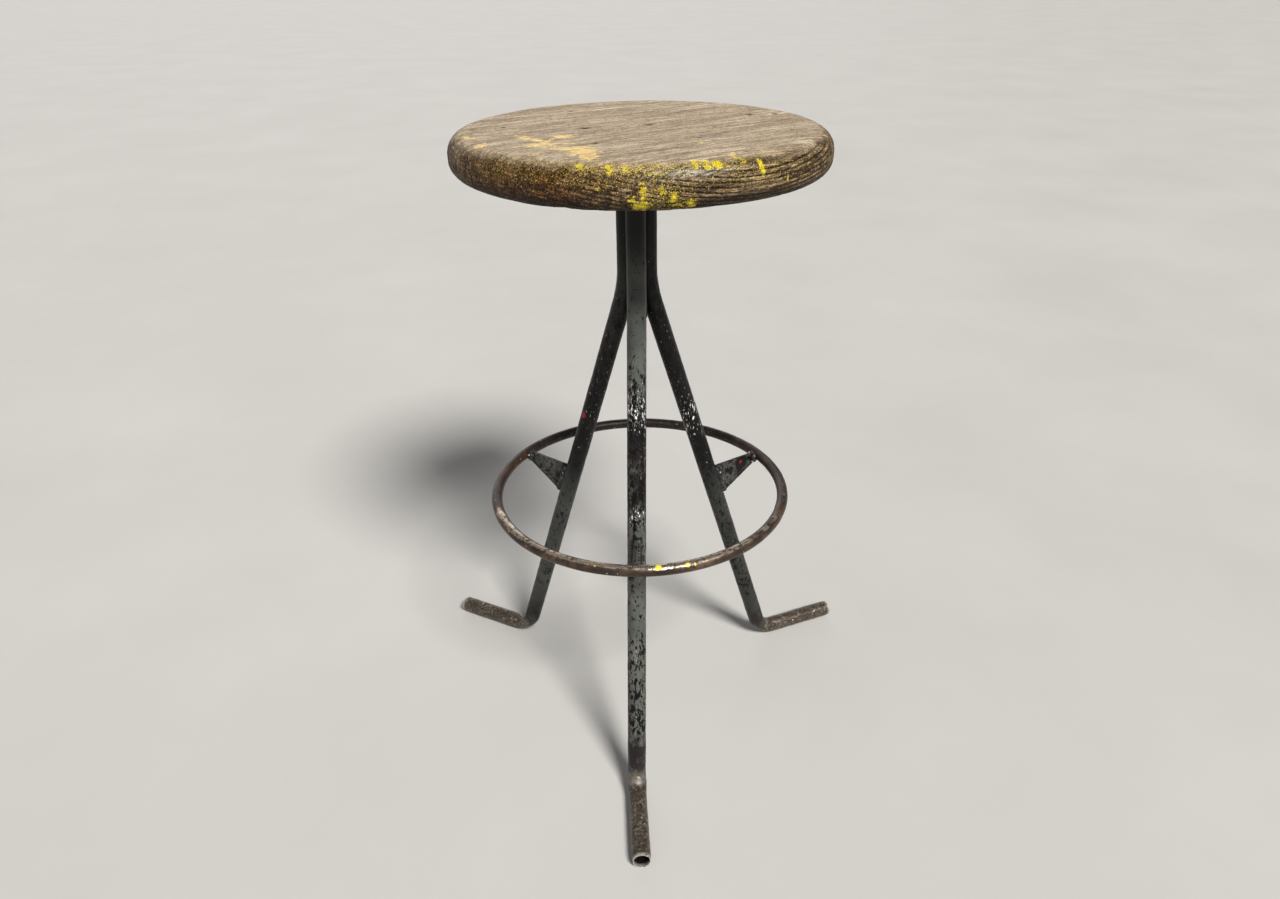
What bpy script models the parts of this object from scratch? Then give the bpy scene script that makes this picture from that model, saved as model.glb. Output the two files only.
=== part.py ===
"""Three-legged screw stool: a wooden seat on a threaded spindle, in a frame of bent tubes.

Metres, +Z up. The swivel axis is vertical. One leg points to -Y and two point back, left and right.
Neighbouring pieces keep GAP between them, also where the real ones are welded.
"""
import math

import bmesh
import bpy
from mathutils import Matrix, Vector

GAP = 0.0003

# Leg tube: bent once under the head and once above the foot.
TUBE_RADIUS = 0.010
TUBE_WALL = 0.002
TUBE_SIDES = 16
BUNDLE_RADIUS = 0.0118          # swivel axis to tube centre, where the three run side by side
LEG_SPLAY = math.radians(18.25)  # between the straight leg and the vertical
SPLAY_CORNER_Z = 0.514          # where the straight runs above and below the upper bend would meet
SPLAY_BEND_RADIUS = 0.130
SPLAY_BEND_STEPS = 4
FOOT_BEND_RADIUS = 0.028
FOOT_BEND_STEPS = 7
BEND_DEPTH = 0.88               # the foot bend is squeezed to this share of its depth
BEND_WIDTH = 1.06               # and is this much wider
# Each leg's direction, how far its foot is turned out of the leg's plane, and the foot's length from
# the corner of its bend. They were bent and cut by hand, so the feet differ.
LEGS = {
    "front": {"azimuth": math.radians(-90), "toe": math.radians(5), "foot": 0.097},
    "left": {"azimuth": math.radians(150), "toe": math.radians(5), "foot": 0.105},
    "right": {"azimuth": math.radians(30), "toe": math.radians(-5), "foot": 0.105},
}

# Seat
SEAT_RADIUS = 0.1775
SEAT_THICK = 0.038
SEAT_TOP_Z = 0.668
SEAT_OFFSET = 0.005             # the wood sits this far off the swivel axis, to the right
TOP_ROUND = (0.018, 0.018)      # how far the upper rounding goes in, and down
LOWER_ROUND = (0.016, 0.015)    # how far the lower rounding goes in, and up
ROUND_STEPS = 5
SEAT_SIDES = 64
RECESS_RADIUS = 0.013           # hollow under the seat for the spindle's riveted head
RECESS_DEPTH = 0.006

# Foot ring and the gussets that carry it
RING_RADIUS = 0.1585
RING_ROD_RADIUS = 0.006
RING_Z = 0.281
RING_SEGMENTS = 48
RING_SIDES = 10
GUSSET_THICK = 0.004
GUSSET_LEG_Z = (0.243, 0.281)   # lower and upper end of the edge along the leg
GUSSET_RING_Z = (0.272, 0.2845)  # lower and upper end of the edge at the ring

# Screw: a trapezoidal thread, 16 mm across and 4 mm a turn
THREAD_RADIUS = 0.008
ROOT_RADIUS = 0.00575
PITCH = 0.004
FLANK = math.radians(15)
TOOTH_HALF = 0.00073            # half of the tooth's width at its crest
THREAD_STEPS = 12               # facets in a turn
FADE_STEPS = 6                  # facets over which the thread runs out at each end
THREAD_TURNS = 34
THREAD_OFFSET = 0.0005          # between the thread's run-out and the collar
TRAVEL_TURNS = 26

# Head and seat fittings, stacked down from the underside of the seat
SEAT_PLATE_RADIUS = 0.056
SEAT_PLATE_THICK = 0.004
SEAT_PLATE_CHAMFER = 0.0006
COLLAR_RADIUS = 0.013
COLLAR_THICK = 0.003
NECK_RADIUS = 0.0055
# The riveted head over the seat plate: (share of the neck's radius, height above the plate)
RIVET_HEAD = ((1.7, 0.0), (1.4, 0.0022), (0.7, 0.0032))
WEAR_WASHER_RADIUS = 0.015
WEAR_WASHER_THICK = 0.002
NUT_FLATS = 0.030
NUT_HEIGHT = 0.015
NUT_RADIAL_GAP = 0.00045
NUT_AXIAL_GAP = 0.0003
NUT_END_SHARE = 0.9             # the nut's corners are cut back to this share at its ends
NUT_END_HEIGHT = 0.0017
NUT_CUTTER_TURNS = 5            # thread cut beyond the nut's height, so that it runs clear of both faces
HEAD_PLATE_RADIUS = 0.029
HEAD_PLATE_THICK = 0.004
HEAD_PLATE_CHAMFER = 0.0005
HEAD_BORE_RADIUS = 0.0087
GUIDE_RADIUS = 0.010
GUIDE_BORE_RADIUS = 0.0086
GUIDE_LENGTH = 0.118
COPE_GAP = 0.00036              # between the guide tube and the legs hollowed out round it
COPE_OVERRUN = 0.020            # how far the cope's cutter passes both ends of the guide tube
COPE_SIDES = 48
ROUND_SIDES = 32

# Wood screws
SCREW_CIRCLE = 0.045
SCREW_COUNT = 4
SCREW_HEAD_RADIUS = 0.0043
SCREW_HEAD_HEIGHT = 0.003
SCREW_SHANK_RADIUS = 0.0021
SCREW_LENGTH = 0.020
SCREW_TIP = 0.004
SCREW_SIDES = 16
SCREW_HEAD_STEPS = 4
SCREW_TURN = math.radians(37)   # each slot stands this much further round than the last
HOLE_OVERRUN = 0.002            # how far a hole's cutter passes the face it enters
SLOT_WIDTH = 0.0012
SLOT_DEPTH = 0.0013

# Bush and stop at the spindle's lower end. The bush steadies the spindle in the guide tube when the
# seat is up, and the pin meets the guide tube's end.
BUSH_RADIUS = 0.0081
BUSH_HEIGHT = 0.014
STOP_PIN_RADIUS = 0.002
STOP_PIN_LENGTH = 0.022
SHANK_TAIL = 0.008              # spindle left below the pin's centre
CHAMFER = 0.001
PIN_CHAMFER = 0.0004
PIN_HOLE_SIDES = 24

# Worked out from the sizes above
SEAT_Z = SEAT_TOP_Z - SEAT_THICK
SEAT_PLATE_Z = SEAT_Z - GAP - SEAT_PLATE_THICK
COLLAR_Z = SEAT_PLATE_Z - GAP - COLLAR_THICK
WEAR_WASHER_Z = COLLAR_Z - GAP - WEAR_WASHER_THICK
NUT_Z = WEAR_WASHER_Z - GAP - NUT_HEIGHT
HEAD_PLATE_Z = NUT_Z - GAP - HEAD_PLATE_THICK
LEG_TOP_Z = HEAD_PLATE_Z - GAP
GUIDE_Z = LEG_TOP_Z - GUIDE_LENGTH
TRAVEL = TRAVEL_TURNS * PITCH
STOP_PIN_Z = GUIDE_Z - TRAVEL - GAP - STOP_PIN_RADIUS
BUSH_Z = STOP_PIN_Z + STOP_PIN_RADIUS + GAP
THREAD_TOP_Z = COLLAR_Z - THREAD_OFFSET
THREAD_Z = THREAD_TOP_Z - (THREAD_TURNS + 1) * PITCH
FOOT_Z = TUBE_RADIUS * math.cos(math.pi / TUBE_SIDES)  # a facet of the foot lies on the ground
FOOT_CORNER = BUNDLE_RADIUS + (SPLAY_CORNER_Z - FOOT_Z) * math.tan(LEG_SPLAY)
FOOT_BEND = math.pi / 2 - LEG_SPLAY

# The swivel axis stands off the origin, so that the origin is under the middle of the whole stool.
FRONT_REACH = (FOOT_CORNER + LEGS["front"]["foot"] * math.cos(LEGS["front"]["toe"])
               + TUBE_RADIUS * math.sin(LEGS["front"]["toe"]))
AXIS_Y = (FRONT_REACH - SEAT_RADIUS) / 2


def clear_scene():
    for thing in list(bpy.data.objects):
        bpy.data.objects.remove(thing, do_unlink=True)


def make_material(name, colour, roughness, metallic):
    material = bpy.data.materials.new(name)
    material.use_nodes = True
    shader = material.node_tree.nodes["Principled BSDF"]
    shader.inputs["Base Color"].default_value = (*colour, 1)
    shader.inputs["Roughness"].default_value = roughness
    shader.inputs["Metallic"].default_value = metallic
    return material


def mesh_of(bm, name, material=None):
    bmesh.ops.recalc_face_normals(bm, faces=bm.faces)
    mesh = bpy.data.meshes.new(name)
    bm.to_mesh(mesh)
    bm.free()
    if material:
        mesh.materials.append(material)
    mesh.shade_smooth()
    mesh.set_sharp_from_angle(angle=math.radians(35))
    return mesh


def place(name, mesh, parent, location=(0, 0, 0), turn=0.0):
    thing = bpy.data.objects.new(name, mesh)
    bpy.context.scene.collection.objects.link(thing)
    thing.parent = parent
    thing.location = location
    thing.rotation_euler = (0, 0, turn)
    return thing


def cut(thing, cutter):
    modifier = thing.modifiers.new("cut by " + cutter.name, "BOOLEAN")
    modifier.operation = "DIFFERENCE"
    modifier.solver = "EXACT"
    modifier.object = cutter
    cutter.hide_render = True
    cutter.display_type = "WIRE"


def spun(outline, sides, ring=False):
    """A bmesh of an (r, z) outline spun about Z. A ring's outline closes on itself."""
    bm = bmesh.new()
    verts = [bm.verts.new((r, 0, z)) for r, z in outline]
    ends = verts[1:] + verts[:1] if ring else verts[1:]
    edges = [bm.edges.new(pair) for pair in zip(verts, ends)]
    bmesh.ops.spin(bm, geom=verts + edges, cent=(0, 0, 0), axis=(0, 0, 1),
                   angle=2 * math.pi, steps=sides, use_merge=True)
    bmesh.ops.remove_doubles(bm, verts=bm.verts, dist=1e-6)
    return bm


def ring_outline(inner, outer, height, chamfer=0.0):
    if not chamfer:
        return [(inner, 0), (outer, 0), (outer, height), (inner, height)]
    return [(inner, 0), (outer - chamfer, 0), (outer, chamfer), (outer, height - chamfer),
            (outer - chamfer, height), (inner, height)]


def cylinder_mesh(name, radius, low, high, sides):
    return mesh_of(spun([(0, low), (radius, low), (radius, high), (0, high)], sides), name)


# Legs

def leg_stations(toe, foot):
    """(centre, direction, way across, bend share) down the leg's middle line. Its plane is x-z.

    The bend share is 0 on straight runs and 1 in the middle of the foot bend.
    """
    down = Vector((0, 0, -1))
    along = Vector((math.sin(LEG_SPLAY), 0, -math.cos(LEG_SPLAY)))
    out = Vector((math.cos(toe), math.sin(toe), 0))
    across = Vector((0, 1, 0))
    foot_across = Vector((-math.sin(toe), math.cos(toe), 0))
    splay_corner = Vector((BUNDLE_RADIUS, 0, SPLAY_CORNER_Z))
    foot_corner = Vector((FOOT_CORNER, 0, FOOT_Z))
    stations = [(Vector((BUNDLE_RADIUS, 0, LEG_TOP_Z)), down, across, 0.0)]
    for centre, heading, _ in bend(splay_corner, down, along, SPLAY_BEND_RADIUS, SPLAY_BEND_STEPS):
        stations.append((centre, heading, across, 0.0))
    for centre, heading, share in bend(foot_corner, along, out, FOOT_BEND_RADIUS, FOOT_BEND_STEPS):
        level = across.lerp(foot_across, share)
        level = (level - heading * level.dot(heading)).normalized()
        stations.append((centre, heading, level, math.sin(math.pi * share) ** 2))
    stations.append((foot_corner + out * foot, out, foot_across, 0.0))
    return stations


def bend(corner, before, after, radius, steps):
    """(centre, direction, share of the bend) round an arc from one direction to another."""
    angle = before.angle(after)
    side = (after - before * after.dot(before)).normalized()
    start = corner - before * radius * math.tan(angle / 2)
    found = []
    for step in range(steps + 1):
        turned = angle * step / steps
        centre = start + before * radius * math.sin(turned) + side * radius * (1 - math.cos(turned))
        heading = before * math.cos(turned) + side * math.sin(turned)
        found.append((centre, heading, step / steps))
    return found


def leg_mesh(toe, foot, material):
    bm = bmesh.new()
    walls = []
    for inset in (0.0, TUBE_WALL):
        rings = []
        for centre, heading, across, squeeze in leg_stations(toe, foot):
            depth = heading.cross(across)
            tall = (TUBE_RADIUS - inset) * (1 + (BEND_DEPTH - 1) * squeeze)
            wide = (TUBE_RADIUS - inset) * (1 + (BEND_WIDTH - 1) * squeeze)
            ring = []
            for side in range(TUBE_SIDES):
                angle = 2 * math.pi * (side + 0.5) / TUBE_SIDES
                offset = depth * tall * math.cos(angle) + across * wide * math.sin(angle)
                ring.append(bm.verts.new(centre + offset))
            rings.append(ring)
        walls.append(rings)
    outer, inner = walls
    for rings in (outer, inner):
        for near, far in zip(rings, rings[1:]):
            join_rings(bm, near, far)
    join_rings(bm, outer[0], inner[0])
    join_rings(bm, outer[-1], inner[-1])
    return mesh_of(bm, "leg", material)


def join_rings(bm, near, far):
    count = len(near)
    for side in range(count):
        nxt = (side + 1) % count
        bm.faces.new((near[side], near[nxt], far[nxt], far[side]))


def make_legs(frame, material):
    cope_mesh = cylinder_mesh("cope_cutter", GUIDE_RADIUS + COPE_GAP, -COPE_OVERRUN,
                              GUIDE_LENGTH + COPE_OVERRUN, COPE_SIDES)
    cope = place("cope_cutter", cope_mesh, frame, (0, 0, GUIDE_Z))
    for side, leg in LEGS.items():
        mesh = leg_mesh(leg["toe"], leg["foot"], material)
        cut(place("leg_" + side, mesh, frame, turn=leg["azimuth"]), cope)


# Foot ring and gussets

def make_foot_ring(frame, material):
    bm = bmesh.new()
    turn = Matrix.Rotation(math.pi / 2, 4, "X")
    circle = bmesh.ops.create_circle(bm, segments=RING_SIDES, radius=RING_ROD_RADIUS,
                                     matrix=Matrix.Translation((RING_RADIUS, 0, 0)) @ turn)
    edges = list({edge for vert in circle["verts"] for edge in vert.link_edges})
    bmesh.ops.spin(bm, geom=circle["verts"] + edges, cent=(0, 0, 0), axis=(0, 0, 1),
                   angle=2 * math.pi, steps=RING_SEGMENTS, use_merge=True)
    bmesh.ops.remove_doubles(bm, verts=bm.verts, dist=1e-6)
    place("foot_ring", mesh_of(bm, "foot_ring", material), frame, (0, 0, RING_Z))


def make_gussets(frame, material):
    leg_surface = TUBE_RADIUS / math.cos(LEG_SPLAY) + GAP
    low, high = [(BUNDLE_RADIUS + (SPLAY_CORNER_Z - z) * math.tan(LEG_SPLAY) + leg_surface, z)
                 for z in GUSSET_LEG_Z]
    ring_edge = RING_RADIUS - RING_ROD_RADIUS - GAP
    outline = [low, (ring_edge, GUSSET_RING_Z[0]), (ring_edge, GUSSET_RING_Z[1]), high]
    bm = bmesh.new()
    face = bm.faces.new([bm.verts.new((r, -GUSSET_THICK / 2, z)) for r, z in outline])
    grown = bmesh.ops.extrude_face_region(bm, geom=[face])["geom"]
    bmesh.ops.translate(bm, vec=(0, GUSSET_THICK, 0),
                        verts=[part for part in grown if isinstance(part, bmesh.types.BMVert)])
    mesh = mesh_of(bm, "gusset", material)
    for side, leg in LEGS.items():
        place("gusset_" + side, mesh, frame, turn=leg["azimuth"])


# Screw thread

def tooth_half(radius, gap):
    """Half of a tooth's height along the axis at this radius, grown by gap on both flanks."""
    return TOOTH_HALF + (THREAD_RADIUS - radius) * math.tan(FLANK) + gap


def thread(bm, crest, root, gap, turns):
    """A right-hand thread from z = 0 up, left open at both ends.

    Each step round the helix has four points up one tooth. Returns the steps.
    """
    steps = []
    last = turns * THREAD_STEPS
    for step in range(last + 1):
        angle = 2 * math.pi * step / THREAD_STEPS
        share = min(1.0, step / FADE_STEPS, (last - step) / FADE_STEPS)
        top = root + (crest - root) * share
        middle = PITCH / 2 + PITCH * step / THREAD_STEPS
        tooth = ((root, -tooth_half(root, gap)), (top, -tooth_half(crest, gap)),
                 (top, tooth_half(crest, gap)), (root, tooth_half(root, gap)))
        steps.append([bm.verts.new((r * math.cos(angle), r * math.sin(angle), middle + z))
                      for r, z in tooth])
    for near, far in zip(steps, steps[1:]):
        for low, high in ((0, 1), (1, 2), (2, 3)):
            bm.faces.new((near[low], far[low], far[high], near[high]))
    for step in range(last - THREAD_STEPS):
        over = step + THREAD_STEPS
        bm.faces.new((steps[step][3], steps[step + 1][3], steps[over + 1][0], steps[over][0]))
    return steps


def close_thread(bm, steps, low_ring, high_ring):
    """Joins the thread's lower end to low_ring and its upper end to high_ring."""
    count = THREAD_STEPS
    for side in range(count - 1):
        bm.faces.new((low_ring[side], low_ring[side + 1], steps[side + 1][0], steps[side][0]))
    seam = [low_ring[0], *steps[0], steps[count][0]]
    bm.faces.new((low_ring[-1], seam[0], seam[1]))
    bm.faces.new((low_ring[-1], seam[1], steps[count - 1][0]))
    for near, far in zip(seam[1:], seam[2:]):
        bm.faces.new((steps[count - 1][0], near, far))
    base = len(steps) - 1 - count
    for side in range(1, count):
        turn = (side + 1) % count
        bm.faces.new((steps[base + side][3], steps[base + side + 1][3], high_ring[turn], high_ring[side]))
    seam = [steps[base][3], *steps[-1], high_ring[0]]
    for near, far in zip(seam, seam[1:-1]):
        bm.faces.new((steps[base + 1][3], far, near))
    bm.faces.new((steps[base + 1][3], high_ring[1], seam[-2]))
    bm.faces.new((high_ring[1], seam[-1], seam[-2]))


def ring_of(bm, radius, z):
    angles = [2 * math.pi * side / THREAD_STEPS for side in range(THREAD_STEPS)]
    return [bm.verts.new((radius * math.cos(a), radius * math.sin(a), z)) for a in angles]


def stack_rings(bm, outline):
    """Rings up an (r, z) outline, joined to each other. Returns the first and the last."""
    rings = [ring_of(bm, r, z) for r, z in outline]
    for near, far in zip(rings, rings[1:]):
        join_rings(bm, near, far)
    return rings[0], rings[-1]


def make_spindle(seat_pivot, material):
    """The lower shank is thin enough to pass down through the nut."""
    bm = bmesh.new()
    steps = thread(bm, THREAD_RADIUS, ROOT_RADIUS, 0.0, THREAD_TURNS)
    foot_z = STOP_PIN_Z - SHANK_TAIL - THREAD_Z
    collar_z = COLLAR_Z - THREAD_Z
    plate_top = collar_z + COLLAR_THICK + GAP + SEAT_PLATE_THICK + GAP
    foot, low = stack_rings(bm, [(ROOT_RADIUS - CHAMFER, foot_z), (ROOT_RADIUS, foot_z + CHAMFER),
                                 (ROOT_RADIUS, -PITCH / 4)])
    high, top = stack_rings(bm, [
        (ROOT_RADIUS, collar_z), (COLLAR_RADIUS, collar_z), (COLLAR_RADIUS, collar_z + COLLAR_THICK),
        (NECK_RADIUS, collar_z + COLLAR_THICK), (NECK_RADIUS, plate_top),
        *[(NECK_RADIUS * share, plate_top + rise) for share, rise in RIVET_HEAD]])
    close_thread(bm, steps, low, high)
    bm.faces.new(foot)
    bm.faces.new(top)
    spindle = place("spindle", mesh_of(bm, "spindle", material), seat_pivot, (0, 0, THREAD_Z))
    hole = cylinder_mesh("pin_hole", STOP_PIN_RADIUS + GAP, -STOP_PIN_LENGTH, STOP_PIN_LENGTH, PIN_HOLE_SIDES)
    cutter = place("pin_hole_cutter", hole, seat_pivot, (0, 0, STOP_PIN_Z))
    cutter.rotation_euler = (math.pi / 2, 0, 0)
    cut(spindle, cutter)


def make_nut(frame, material):
    corner = NUT_FLATS / math.sqrt(3)
    end = corner * NUT_END_SHARE
    blank = spun([(0, 0), (end, 0), (corner, NUT_END_HEIGHT), (corner, NUT_HEIGHT - NUT_END_HEIGHT),
                  (end, NUT_HEIGHT), (0, NUT_HEIGHT)], 6)
    nut = place("spindle_nut", mesh_of(blank, "spindle_nut", material), frame, (0, 0, NUT_Z))
    turns_below = math.floor((NUT_Z - THREAD_Z) / PITCH) - 2
    turns = math.ceil(NUT_HEIGHT / PITCH) + NUT_CUTTER_TURNS
    crest = THREAD_RADIUS + NUT_RADIAL_GAP
    root = ROOT_RADIUS + NUT_RADIAL_GAP
    bm = bmesh.new()
    steps = thread(bm, crest, root, NUT_AXIAL_GAP, turns)
    low = ring_of(bm, root, -PITCH)
    high = ring_of(bm, root, (turns + 2) * PITCH)
    close_thread(bm, steps, low, high)
    bm.faces.new(low)
    bm.faces.new(high)
    cutter = place("nut_thread_cutter", mesh_of(bm, "nut_thread"), frame,
                   (0, 0, THREAD_Z + turns_below * PITCH))
    cut(nut, cutter)


# Head, seat and fittings

def make_head(frame, material):
    outline = ring_outline(HEAD_BORE_RADIUS, HEAD_PLATE_RADIUS, HEAD_PLATE_THICK, HEAD_PLATE_CHAMFER)
    plate = spun(outline, ROUND_SIDES, ring=True)
    place("head_plate", mesh_of(plate, "head_plate", material), frame, (0, 0, HEAD_PLATE_Z))
    tube = spun(ring_outline(GUIDE_BORE_RADIUS, GUIDE_RADIUS, GUIDE_LENGTH), ROUND_SIDES, ring=True)
    place("guide_tube", mesh_of(tube, "guide_tube", material), frame, (0, 0, GUIDE_Z))


def make_wear_washer(washer_pivot, material):
    ring = spun(ring_outline(THREAD_RADIUS + NUT_RADIAL_GAP, WEAR_WASHER_RADIUS, WEAR_WASHER_THICK),
                ROUND_SIDES, ring=True)
    place("wear_washer", mesh_of(ring, "wear_washer", material), washer_pivot, (0, 0, WEAR_WASHER_Z))


def rounding(inset, rise, centre_r, centre_z, start, end):
    """Points on a quarter of an ellipse, from angle start to angle end, in quarter turns."""
    found = []
    for step in range(ROUND_STEPS + 1):
        angle = math.pi / 2 * (start + (end - start) * step / ROUND_STEPS)
        found.append((centre_r + inset * math.cos(angle), centre_z + rise * math.sin(angle)))
    return found


def make_seat(seat_pivot, material):
    outline = [(0, 0)]
    outline += rounding(*LOWER_ROUND, SEAT_RADIUS - LOWER_ROUND[0], LOWER_ROUND[1], -1, 0)
    outline += rounding(*TOP_ROUND, SEAT_RADIUS - TOP_ROUND[0], SEAT_THICK - TOP_ROUND[1], 0, 1)
    outline.append((0, SEAT_THICK))
    seat = place("seat", mesh_of(spun(outline, SEAT_SIDES), "seat", material), seat_pivot,
                 (SEAT_OFFSET, 0, SEAT_Z))
    recess = cylinder_mesh("recess", RECESS_RADIUS, -RECESS_DEPTH, RECESS_DEPTH, ROUND_SIDES)
    cut(seat, place("recess_cutter", recess, seat_pivot, (0, 0, SEAT_Z)))
    hole = cylinder_mesh("pilot_hole", SCREW_SHANK_RADIUS + GAP, -HOLE_OVERRUN,
                         SCREW_LENGTH - HOLE_OVERRUN, SCREW_SIDES)
    for number, (x, y) in enumerate(screw_places(), 1):
        cut(seat, place(f"pilot_cutter_{number}", hole, seat_pivot, (x, y, SEAT_Z)))


def screw_places():
    angles = [math.pi * (2 * number + 1) / SCREW_COUNT for number in range(SCREW_COUNT)]
    return [(SCREW_CIRCLE * math.cos(angle), SCREW_CIRCLE * math.sin(angle)) for angle in angles]


def make_seat_plate(seat_pivot, material):
    bore = NECK_RADIUS + GAP
    outline = ring_outline(bore, SEAT_PLATE_RADIUS, SEAT_PLATE_THICK, SEAT_PLATE_CHAMFER)
    mesh = mesh_of(spun(outline, ROUND_SIDES, ring=True), "seat_plate", material)
    plate = place("seat_plate", mesh, seat_pivot, (0, 0, SEAT_PLATE_Z))
    hole = cylinder_mesh("screw_hole", SCREW_SHANK_RADIUS + GAP, -HOLE_OVERRUN,
                         SEAT_PLATE_THICK + HOLE_OVERRUN, SCREW_SIDES)
    for number, (x, y) in enumerate(screw_places(), 1):
        cut(plate, place(f"screw_hole_cutter_{number}", hole, seat_pivot, (x, y, SEAT_PLATE_Z)))


def make_screws(seat_pivot, material):
    """Round-headed slotted wood screws, driven up through the plate. z = 0 is under the head."""
    outline = [(0, -SCREW_HEAD_HEIGHT)]
    for step in range(1, SCREW_HEAD_STEPS + 1):
        angle = math.pi / 2 * step / SCREW_HEAD_STEPS
        outline.append((SCREW_HEAD_RADIUS * math.sin(angle), -SCREW_HEAD_HEIGHT * math.cos(angle)))
    tip = SCREW_LENGTH + GAP
    outline += [(SCREW_SHANK_RADIUS, 0), (SCREW_SHANK_RADIUS, tip - SCREW_TIP), (0, tip)]
    mesh = mesh_of(spun(outline, SCREW_SIDES), "seat_screw", material)
    slot = bmesh.new()
    bmesh.ops.create_cube(slot, size=1.0, matrix=Matrix.Translation((0, 0, -SCREW_HEAD_HEIGHT))
                          @ Matrix.Diagonal((4 * SCREW_HEAD_RADIUS, SLOT_WIDTH, 2 * SLOT_DEPTH, 1)))
    slot_mesh = mesh_of(slot, "slot")
    head_z = SEAT_PLATE_Z - GAP
    for number, (x, y) in enumerate(screw_places(), 1):
        turn = SCREW_TURN * number
        screw = place(f"seat_screw_{number}", mesh, seat_pivot, (x, y, head_z), turn)
        cut(screw, place(f"slot_cutter_{number}", slot_mesh, seat_pivot, (x, y, head_z), turn))


def make_stop(seat_pivot, material):
    ring = spun(ring_outline(ROOT_RADIUS + GAP, BUSH_RADIUS, BUSH_HEIGHT, CHAMFER), ROUND_SIDES, ring=True)
    place("guide_bush", mesh_of(ring, "guide_bush", material), seat_pivot, (0, 0, BUSH_Z))
    half = STOP_PIN_LENGTH / 2
    edge = STOP_PIN_RADIUS - PIN_CHAMFER
    pin = spun([(0, -half), (edge, -half), (STOP_PIN_RADIUS, PIN_CHAMFER - half),
                (STOP_PIN_RADIUS, half - PIN_CHAMFER), (edge, half), (0, half)], SCREW_SIDES)
    pin_object = place("stop_pin", mesh_of(pin, "stop_pin", material), seat_pivot, (0, 0, STOP_PIN_Z))
    pin_object.rotation_euler = (math.pi / 2, 0, 0)


def main():
    clear_scene()
    grey_paint = make_material("grey_paint", (0.062, 0.066, 0.064), 0.45, 0.2)
    worn_steel = make_material("worn_steel", (0.16, 0.12, 0.09), 0.42, 0.85)
    bare_steel = make_material("bare_steel", (0.33, 0.32, 0.31), 0.38, 1.0)
    wood = make_material("weathered_wood", (0.23, 0.16, 0.09), 0.6, 0.0)

    frame = place("frame_axis", None, None, (0, AXIS_Y, 0))
    washer_pivot = place("washer_pivot", None, None, (0, AXIS_Y, 0))
    seat_pivot = place("seat_pivot", None, None, (0, AXIS_Y, 0))

    make_legs(frame, grey_paint)
    make_foot_ring(frame, worn_steel)
    make_gussets(frame, grey_paint)
    make_head(frame, grey_paint)
    make_nut(frame, bare_steel)
    make_wear_washer(washer_pivot, bare_steel)
    make_seat(seat_pivot, wood)
    make_seat_plate(seat_pivot, grey_paint)
    make_screws(seat_pivot, bare_steel)
    make_spindle(seat_pivot, bare_steel)
    make_stop(seat_pivot, bare_steel)


main()
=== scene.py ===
import math

import bmesh
import bpy
import numpy as np
from mathutils import Matrix, Vector


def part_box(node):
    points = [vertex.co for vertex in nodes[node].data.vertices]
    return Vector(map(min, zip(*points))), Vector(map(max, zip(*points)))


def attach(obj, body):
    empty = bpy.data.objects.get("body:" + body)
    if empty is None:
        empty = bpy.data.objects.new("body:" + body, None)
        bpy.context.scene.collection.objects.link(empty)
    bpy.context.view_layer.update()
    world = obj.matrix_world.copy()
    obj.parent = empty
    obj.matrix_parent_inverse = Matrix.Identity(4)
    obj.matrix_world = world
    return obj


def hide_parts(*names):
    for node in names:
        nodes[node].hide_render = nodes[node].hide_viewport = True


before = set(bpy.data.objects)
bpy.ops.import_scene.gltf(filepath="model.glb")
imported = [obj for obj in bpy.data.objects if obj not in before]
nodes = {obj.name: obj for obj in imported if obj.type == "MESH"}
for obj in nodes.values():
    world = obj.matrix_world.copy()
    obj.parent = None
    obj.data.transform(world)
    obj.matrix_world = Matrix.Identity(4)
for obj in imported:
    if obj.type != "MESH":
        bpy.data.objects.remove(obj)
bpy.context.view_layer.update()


def middleOf(node):
    low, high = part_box(node)
    return (low + high) / 2


# the swivel axis runs up the middle of the round head plate
axis = Vector((middleOf("head_plate").x, middleOf("head_plate").y, 0.0))


# small helpers for node trees

def feed(tree, socket, value):
    # a link where the value comes from a node, else a fixed value
    if isinstance(value, bpy.types.NodeSocket):
        tree.links.new(value, socket)
    else:
        socket.default_value = value


def addNode(tree, kind, inputs=None, **settings):
    node = tree.nodes.new("ShaderNode" + kind)
    for key, value in settings.items():
        setattr(node, key, value)
    for socket, value in (inputs or {}).items():
        feed(tree, node.inputs[socket], value)
    return node


def calc(tree, operation, a, b=0.0, clamp=False):
    return addNode(tree, "Math", {0: a, 1: b}, operation=operation, use_clamp=clamp).outputs[0]


def times(tree, a, b, clamp=False):
    return calc(tree, "MULTIPLY", a, b, clamp)


def plus(tree, a, b):
    return calc(tree, "ADD", a, b)


def minus(tree, a, b):
    return calc(tree, "SUBTRACT", a, b)


def greater(tree, a, b):
    return calc(tree, "MAXIMUM", a, b)


def rise(tree, value, low, high):
    # 0 below low, 1 above high, smooth between
    return addNode(tree, "MapRange", {"Value": value, "From Min": low, "From Max": high},
                   interpolation_type="SMOOTHSTEP").outputs["Result"]


def mixed(tree, share, a, b, blend="MIX"):
    node = addNode(tree, "Mix", data_type="RGBA", blend_type=blend)
    for index, value in ((0, share), (6, a), (7, b)):
        feed(tree, node.inputs[index], (*value, 1.0) if isinstance(value, tuple) else value)
    return node.outputs[2]


def partly(tree, mask, share, under, over):
    # the second colour laid over the first, by a share of the mask
    return mixed(tree, times(tree, mask, share), under, over)


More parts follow.
